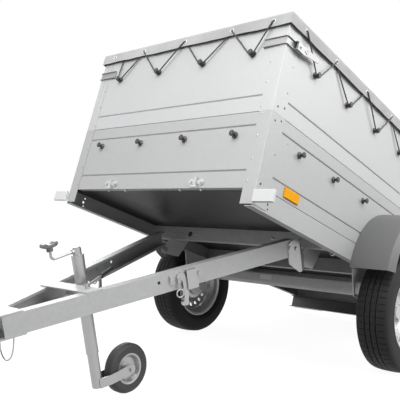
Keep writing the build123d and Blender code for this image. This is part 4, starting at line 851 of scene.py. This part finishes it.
# %% Tyre section
TYRE_RADIUS = 273.5
RIM_SEAT = 165.2
GROOVES = (-27.0, -1.0, 25.0)
GROOVE_DEEP = 6.5
GROOVE_HALF = 2.3
GROOVE_SLOPE = 0.7  # how far a groove's wall leans
RIB_MIDDLES = (-14.0, 12.0)
SIPE_START = 33.0  # where the shoulders' sipes begin, out from the middle
SHOULDER_X = 58.0
SHOULDER_DROP = 0.6
CROWN_DROP = 2.2


def crown(x):
    """Radius of the tread at a distance from the tyre's middle."""
    return TYRE_RADIUS - CROWN_DROP * (abs(x) / 50) ** 2.4


SIDEWALL = (  # distance from the middle, radius, from the shoulder down to the bead
    (66.0, 266.5), (71.0, 261.5), (74.0, 254.5), (75.4, 246.0), (75.4, 245.0), (76.2, 244.2), (77.0, 230.0),
    (77.5, 218.0), (77.0, 206.0), (77.9, 204.6), (77.9, 203.2), (76.4, 202.0), (73.6, 190.0), (69.0, 180.5),
    (63.4, 177.6), (62.2, 175.8), (60.4, 170.0), (58.5, RIM_SEAT))
LINER = ((44.5, RIM_SEAT), (61.0, 191.0), (68.0, 217.0), (60.0, 245.0), (43.0, 256.0))
tread = [(x, crown(x)) for x in (*RIB_MIDDLES, -SIPE_START, SIPE_START)]
tread += [(side * SHOULDER_X, crown(SHOULDER_X) - SHOULDER_DROP) for side in (-1, 1)]
for middle in GROOVES:
    tread += [(middle - GROOVE_HALF, crown(middle - GROOVE_HALF)),
              (middle - GROOVE_HALF + GROOVE_SLOPE, crown(middle) - GROOVE_DEEP),
              (middle + GROOVE_HALF - GROOVE_SLOPE, crown(middle) - GROOVE_DEEP),
              (middle + GROOVE_HALF, crown(middle + GROOVE_HALF))]
tread.sort()
one_side = list(SIDEWALL) + list(LINER)
outline = tread + one_side + [(-x, radius) for x, radius in reversed(one_side)]
print("tyre section:", len(outline), "points")

# %% One pitch of tread
PITCHES = 58
PITCH = 2 * math.pi / PITCHES
SIPE_SHARE = 0.09  # of a pitch
SIPE_DEEP = 4.5
SIPE_END = 64.0  # out from the middle
SIPE_LOW = 255.0  # radius
RIB_HALF = 10.9
TREAD_BAND = 1.5  # how far below the tyre's radius the ribs' tops still are


def merge(piece, gap=0.01):
    """Welds doubles and turns all faces outwards."""
    only(piece)
    bpy.ops.object.mode_set(mode="EDIT")
    bpy.ops.mesh.select_all(action="SELECT")
    bpy.ops.mesh.remove_doubles(threshold=gap)
    bpy.ops.mesh.normals_make_consistent(inside=False)
    bpy.ops.object.mode_set(mode="OBJECT")


def is_shoulder(x, radius):
    """Sipes across each shoulder, from the outer groove to the sidewall."""
    return SIPE_START < abs(x) < SIPE_END and radius > SIPE_LOW


def is_rib_cut(x, radius, which):
    """Short cuts across half of each middle rib, on alternate sides."""
    on_tread = radius >= TYRE_RADIUS - TREAD_BAND
    return on_tread and any(0 < (x - middle) * which < RIB_HALF for middle in RIB_MIDDLES)


def tread_pitch(which):
    """One block and one sipe of the tread, spun from the section."""
    section = bpy.data.meshes.new("tyre_pitch")
    count = len(outline)
    loop = [(i, (i + 1) % count) for i in range(count)]
    section.from_pydata([(x, 0, radius) for x, radius in outline], loop, [])
    pitch = bpy.data.objects.new("tyre_pitch", section)
    bpy.context.collection.objects.link(pitch)
    for steps, share in ((2, 1 - SIPE_SHARE), (1, SIPE_SHARE)):
        front_edge = max(math.atan2(v.co.y, v.co.z) for v in pitch.data.vertices)
        pick(pitch, "verts", lambda co: math.atan2(co.y, co.z) > front_edge - 1e-5)
        bpy.ops.mesh.spin(steps=steps, angle=PITCH * share, center=(0, 0, 0), axis=(1, 0, 0))
        fresh()
    sipe_middle = PITCH * (1 - SIPE_SHARE / 2)

    def in_sipe(centre, _):
        radius = math.hypot(centre.y, centre.z)
        if abs(math.atan2(centre.y, centre.z) - sipe_middle) > PITCH * SIPE_SHARE * 0.6:
            return False
        return is_shoulder(centre.x, radius) or is_rib_cut(centre.x, radius, which)

    merge(pitch, 0.001)
    pick(pitch, "faces", in_sipe)
    bpy.ops.mesh.extrude_region_shrink_fatten(TRANSFORM_OT_shrink_fatten={"value": -SIPE_DEEP})
    fresh()
    return pitch


# %% Whole tyres
TYRE_OUT = 652.0  # from the trailer's middle
WELD = 0.2


def road_tyre(name, side, node):
    """A whole tyre for one side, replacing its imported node."""
    pitches = [tread_pitch(1), tread_pitch(-1)]
    halves = []
    for index, pitch in enumerate(pitches):
        turns = [Matrix.Rotation(-PITCH * step, 4, "X") for step in range(index, PITCHES, 2)]
        halves.append(repeat(pitch, turns))
    tyre = join(halves)
    tyre.location = (side * TYRE_OUT, 0, 0)
    merge(tyre, WELD)
    body = "wheel_left" if side > 0 else "wheel_right"
    settle(tyre, name, BED, TYRE_RUBBER, body, 30)
    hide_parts(node)


road_tyre("tyre_left", 1, "wheel_tyre_left")
road_tyre("tyre_right", -1, "wheel_tyre_right")

# %% [markdown]
# ## Rivets and bolts
# Blind rivets hold the boards to the corner posts. Each is a low dome with the
# hole that its mandrel leaves. Bolts are hexagonal heads on washers. Each kind
# is modelled once, at the origin, and copied to the places in a table, so that
# one change reaches all of them.

# %% Models of the fasteners
HEX_RATIO = 1.732  # a hexagon's width across flats over its radius


def top_face(_, normal):
    """A test for pick: the face looks up."""
    return normal.z > 0.9


def rivet_model(radius):
    """Blind rivet: a flange, a dome and the mandrel's hole."""
    fresh()
    bpy.ops.mesh.primitive_cylinder_add(vertices=16, radius=radius, depth=1.2, location=(0, 0, 0.4))
    rivet = bpy.context.active_object
    freeze(rivet)
    pick(rivet, "faces", top_face)
    bpy.ops.mesh.inset(thickness=radius * 0.34, depth=0.7)
    bpy.ops.mesh.inset(thickness=radius * 0.2, depth=0.05)
    bpy.ops.mesh.inset(thickness=radius * 0.1, depth=-1.3)
    fresh()
    return rivet


def bolt_model(across, height, washer):
    """Hexagonal head with a washer and a chamfer."""
    fresh()
    bpy.ops.mesh.primitive_cylinder_add(vertices=24, radius=washer, depth=1.8, location=(0, 0, 0.7))
    ring = bpy.context.active_object
    bpy.ops.mesh.primitive_cylinder_add(vertices=6, radius=across / HEX_RATIO, depth=height,
                                        location=(0, 0, 1.4 + height / 2))
    head = bpy.context.active_object
    freeze(head)
    pick(head, "faces", top_face)
    bpy.ops.mesh.inset(thickness=across * 0.06, depth=0.9)
    bolt = join([head, ring])
    modify(bolt, "BEVEL", width=0.4, segments=2, angle_limit=math.radians(40))
    return bolt


# %% Rivets of the corner posts
POST_RIVET_RADIUS = 4.4
POST_RIVETS = (736, 650, 548, 519, 428, 337, 247)  # heights
UPPER_FROM = 530.0  # the upper posts begin here
POST_INSET = 44.0
UPPER_INSET = 53.0
POST_PROUD = 2.0
FOLD_STEP = 0.8  # the upper posts' strip lies this much back
SIDE_RIVETS = (  # place along the side, height, how proud the sheet is
    (-1027, 741, POST_PROUD), (-1027, 630, POST_PROUD), (-1027, 378, POST_PROUD), (-958, 449, 0),
)


def mirrored(points):
    """Points on the left and their mirror images on the right."""
    return [(side * x, y, z) for x, y, z in points for side in (1, -1)]


rivet_places = []
for height in POST_RIVETS:
    upper = height >= UPPER_FROM
    inset = UPPER_INSET if upper else POST_INSET
    proud = POST_PROUD - FOLD_STEP if upper else POST_PROUD
    for x, y, z in mirrored([(HALF - inset, FRONT - proud, height)]):
        rivet_places.append(facing((x, y, z), (0, -1, 0)))
        rivet_places.append(facing((x, REAR + proud, z), (0, 1, 0)))
for y, z, proud in SIDE_RIVETS:
    for x, _, _ in mirrored([(HALF + proud, y, z)]):
        out = (math.copysign(1, x), 0, 0)
        rivet_places.append(facing((x, y, z), out))
        rivet_places.append(facing((x, FRONT + REAR - y, z), out))
rivets = repeat(rivet_model(POST_RIVET_RADIUS), rivet_places)
settle(rivets, "post_rivets", BED, PLATED_ZINC, "bed")

# %% [markdown]
# ## Small parts of the corner latches
# Each over-centre latch has a strap riveted to the corner, a screw on which its
# lever turns and a diamond-shaped keeper plate pressed into the lever. The
# keeper could be drawn point by point, but a flat cylinder with four sides has
# that outline already, and insets sink its middle.

# %% Rivets and screws of the latches
LATCH_MIDDLE = 821.5
STRAP_OUT = 2.2
STRAP_RIVET_RADIUS = 3.6
STRAP_RIVETS = (14.0, 27.0)  # behind the end wall's face, as is the next
LEVER_SCREW = 64.0
LEVER_FACE = 24.0


def on_corners(out, behind, height):
    """Places on all four corners' sides, a distance behind the end wall's face."""
    places = []
    for side in (1, -1):
        for y in (FRONT + behind, REAR - behind):
            places.append(facing((side * (HALF + out), y, height), (side, 0, 0)))
    return places


strap_places = []
for behind in STRAP_RIVETS:
    strap_places += on_corners(STRAP_OUT, behind, LATCH_MIDDLE)
strap_rivets = repeat(rivet_model(STRAP_RIVET_RADIUS), strap_places)
screw = bolt_model(across=8.0, height=3.2, washer=6.0)
screws = repeat(screw, on_corners(LEVER_FACE, LEVER_SCREW, LATCH_MIDDLE))
print("latches:", len(strap_places), "rivets")

# %% Keeper plates, and the latches' fittings as one piece
KEEPER_AT = 108.0  # behind the end wall's face
KEEPER_RADIUS = 10.0
KEEPER_UP = 2.0
fresh()
bpy.ops.mesh.primitive_cylinder_add(vertices=4, radius=KEEPER_RADIUS, depth=2.4, location=(0, 0, 0.8))
keeper = bpy.context.active_object
freeze(keeper)
pick(keeper, "faces", top_face)
bpy.ops.mesh.inset(thickness=2.0, depth=0.6)
bpy.ops.mesh.inset(thickness=1.2, depth=-1.8)
fresh()
modify(keeper, "BEVEL", width=0.3, segments=2, angle_limit=math.radians(40))
keepers = repeat(keeper, on_corners(LEVER_FACE, KEEPER_AT, LATCH_MIDDLE + KEEPER_UP))
fittings = join([keepers, strap_rivets, screws])
settle(fittings, "latch_fittings", BED, PLATED_ZINC, "bed")

# %% [markdown]
# ## Rivets of the hooks
# Each spool-shaped hook is held by a rivet through its middle, which shows as a
# dull dot in the black button. The tailgate's own hooks turn with it, so their
# rivets are a piece of their own.

# %% Hook rivets
HOOK_RIVET_RADIUS = 5.2
HOOK_DEPTH = 25.0
LOW_ROW, HIGH_ROW = 437.0, 786.0
FIRST_HOOK = 226.0  # behind the front board
SIDE_PITCH = 277.0
END_PITCH = 269.0
SIDE_HOOKS = [FRONT + FIRST_HOOK + SIDE_PITCH * step for step in range(7)]
END_HOOKS = [END_PITCH * (step - 1.5) for step in range(4)]
GUARD_CENTRE_Z = 120.0
GUARD_REACH = 349.0  # no hook nearer to the mudguard's centre
head_places = []
for row in (LOW_ROW, HIGH_ROW):
    for x in END_HOOKS:
        head_places.append(facing((x, FRONT - HOOK_DEPTH, row), (0, -1, 0)))
    for y in SIDE_HOOKS:
        if math.hypot(y, row - GUARD_CENTRE_Z) > GUARD_REACH:
            for side in (1, -1):
                head_places.append(facing((side * (HALF + HOOK_DEPTH), y, row), (side, 0, 0)))
for x in END_HOOKS:
    head_places.append(facing((x, REAR + HOOK_DEPTH, HIGH_ROW), (0, 1, 0)))
gate_places = [facing((x, REAR + HOOK_DEPTH, LOW_ROW), (0, 1, 0)) for x in END_HOOKS]
heads = repeat(rivet_model(HOOK_RIVET_RADIUS), head_places)
settle(heads, "hook_rivets", BED, DULL_ZINC_AND_PAINTED_SHADE, "bed")
gate_heads = repeat(rivet_model(HOOK_RIVET_RADIUS), gate_places)
settle(gate_heads, "tailgate_hook_rivets", BED, DULL_ZINC_AND_PAINTED_SHADE, "tailgate")

# %% [markdown]
# ## Fittings under the bed
# The member behind the drawbar is bolted through its web and has a rubber
# grommet for the lamps' wiring. Bolts hold the floor along its front edge, a
# blank rating label sits on the axle, and a small loop of wire for a lashing
# strap hangs under each rail. Loops come from spinning a wire's section, and a
# grommet is a ring with a thin skin inside.

# %% Bolts of the cross member and the floor
MEMBER_FACE = -506.0
FLOOR_UNDER = 222.0
MEMBER_BOLTS = ((386, 184), (335, 184), (242, 187))
FLOOR_BOLTS = (281, 167)
BOLT_BEHIND = 12  # how far behind the front board's face the floor's bolts are
member_spots = mirrored([(x, MEMBER_FACE, z) for x, z in MEMBER_BOLTS])
floor_spots = mirrored([(x, FRONT + BOLT_BEHIND, FLOOR_UNDER) for x in FLOOR_BOLTS])
bolt_places = [facing(spot, (0, -1, 0)) for spot in member_spots]
bolt_places += [facing(spot, (0, 0, -1)) for spot in floor_spots]
bolts = repeat(bolt_model(across=10.0, height=4.5, washer=7.5), bolt_places)
settle(bolts, "bed_bolts", BED, PLATED_ZINC, "bed")

# %% Wiring grommet
GROMMET_AT = (-278.0, MEMBER_FACE, 185.0)
GROMMET_RADIUS = 11.0
fresh()
bpy.ops.mesh.primitive_torus_add(major_radius=GROMMET_RADIUS, minor_radius=3.2,
                                 major_segments=28, minor_segments=10)
lip = bpy.context.active_object
bpy.ops.mesh.primitive_cylinder_add(vertices=28, radius=GROMMET_RADIUS, depth=1.2, location=(0, 0, 0.6))
skin = bpy.context.active_object
freeze(skin)
pick(skin, "faces", top_face)
bpy.ops.mesh.inset(thickness=6.5, depth=-0.4)
bpy.ops.mesh.inset(thickness=1.2, depth=2.0)
grommet = repeat(join([lip, skin]), [facing(GROMMET_AT, (0, -1, 0))])
settle(grommet, "wiring_grommet", BED, BLACK_PLASTIC, "bed")

# %% Blank label of the axle
LABEL_MIDDLE = (21.0, -199.2, 59.0)
LABEL_SIZE = (72.0, 0.8, 22.0)
fresh()
bpy.ops.mesh.primitive_cube_add(size=1, location=LABEL_MIDDLE)
label = bpy.context.active_object
label.scale = LABEL_SIZE
freeze(label)
modify(label, "BEVEL", width=0.3, segments=2)
pick(label, "faces", lambda _, normal: normal.y < -0.9)
bpy.ops.mesh.inset(thickness=1.5, depth=-0.15)
settle(label, "blank_axle_label", BED, BLANK_PLATE, "bed")

# %% Lashing loops under the rails
LOOP_AT = (530.0, -450.0, 152.4)
LOOP_RADIUS = 11.0
LOOP_WIRE = 3.0
fresh()
bpy.ops.mesh.primitive_circle_add(vertices=10, radius=LOOP_WIRE, fill_type="NGON", location=(LOOP_RADIUS, 0, 0))
wire = bpy.context.active_object
freeze(wire)
pick(wire, "faces", lambda _, normal: True)
bpy.ops.mesh.spin(steps=12, angle=math.pi, center=(0, 0, 0), axis=(0, 1, 0))
merge(wire)
hangs = min(vertex.co.z for vertex in wire.data.vertices) < -LOOP_RADIUS / 2
swing = 1 if hangs else -1
loops = [Matrix.Translation(spot) @ Matrix.Diagonal((1, 1, swing, 1)) for spot in mirrored([LOOP_AT])]
lashing = repeat(wire, loops)
freeze(lashing)
merge(lashing)
settle(lashing, "lashing_loops", BED, PLATED_ZINC, "bed")
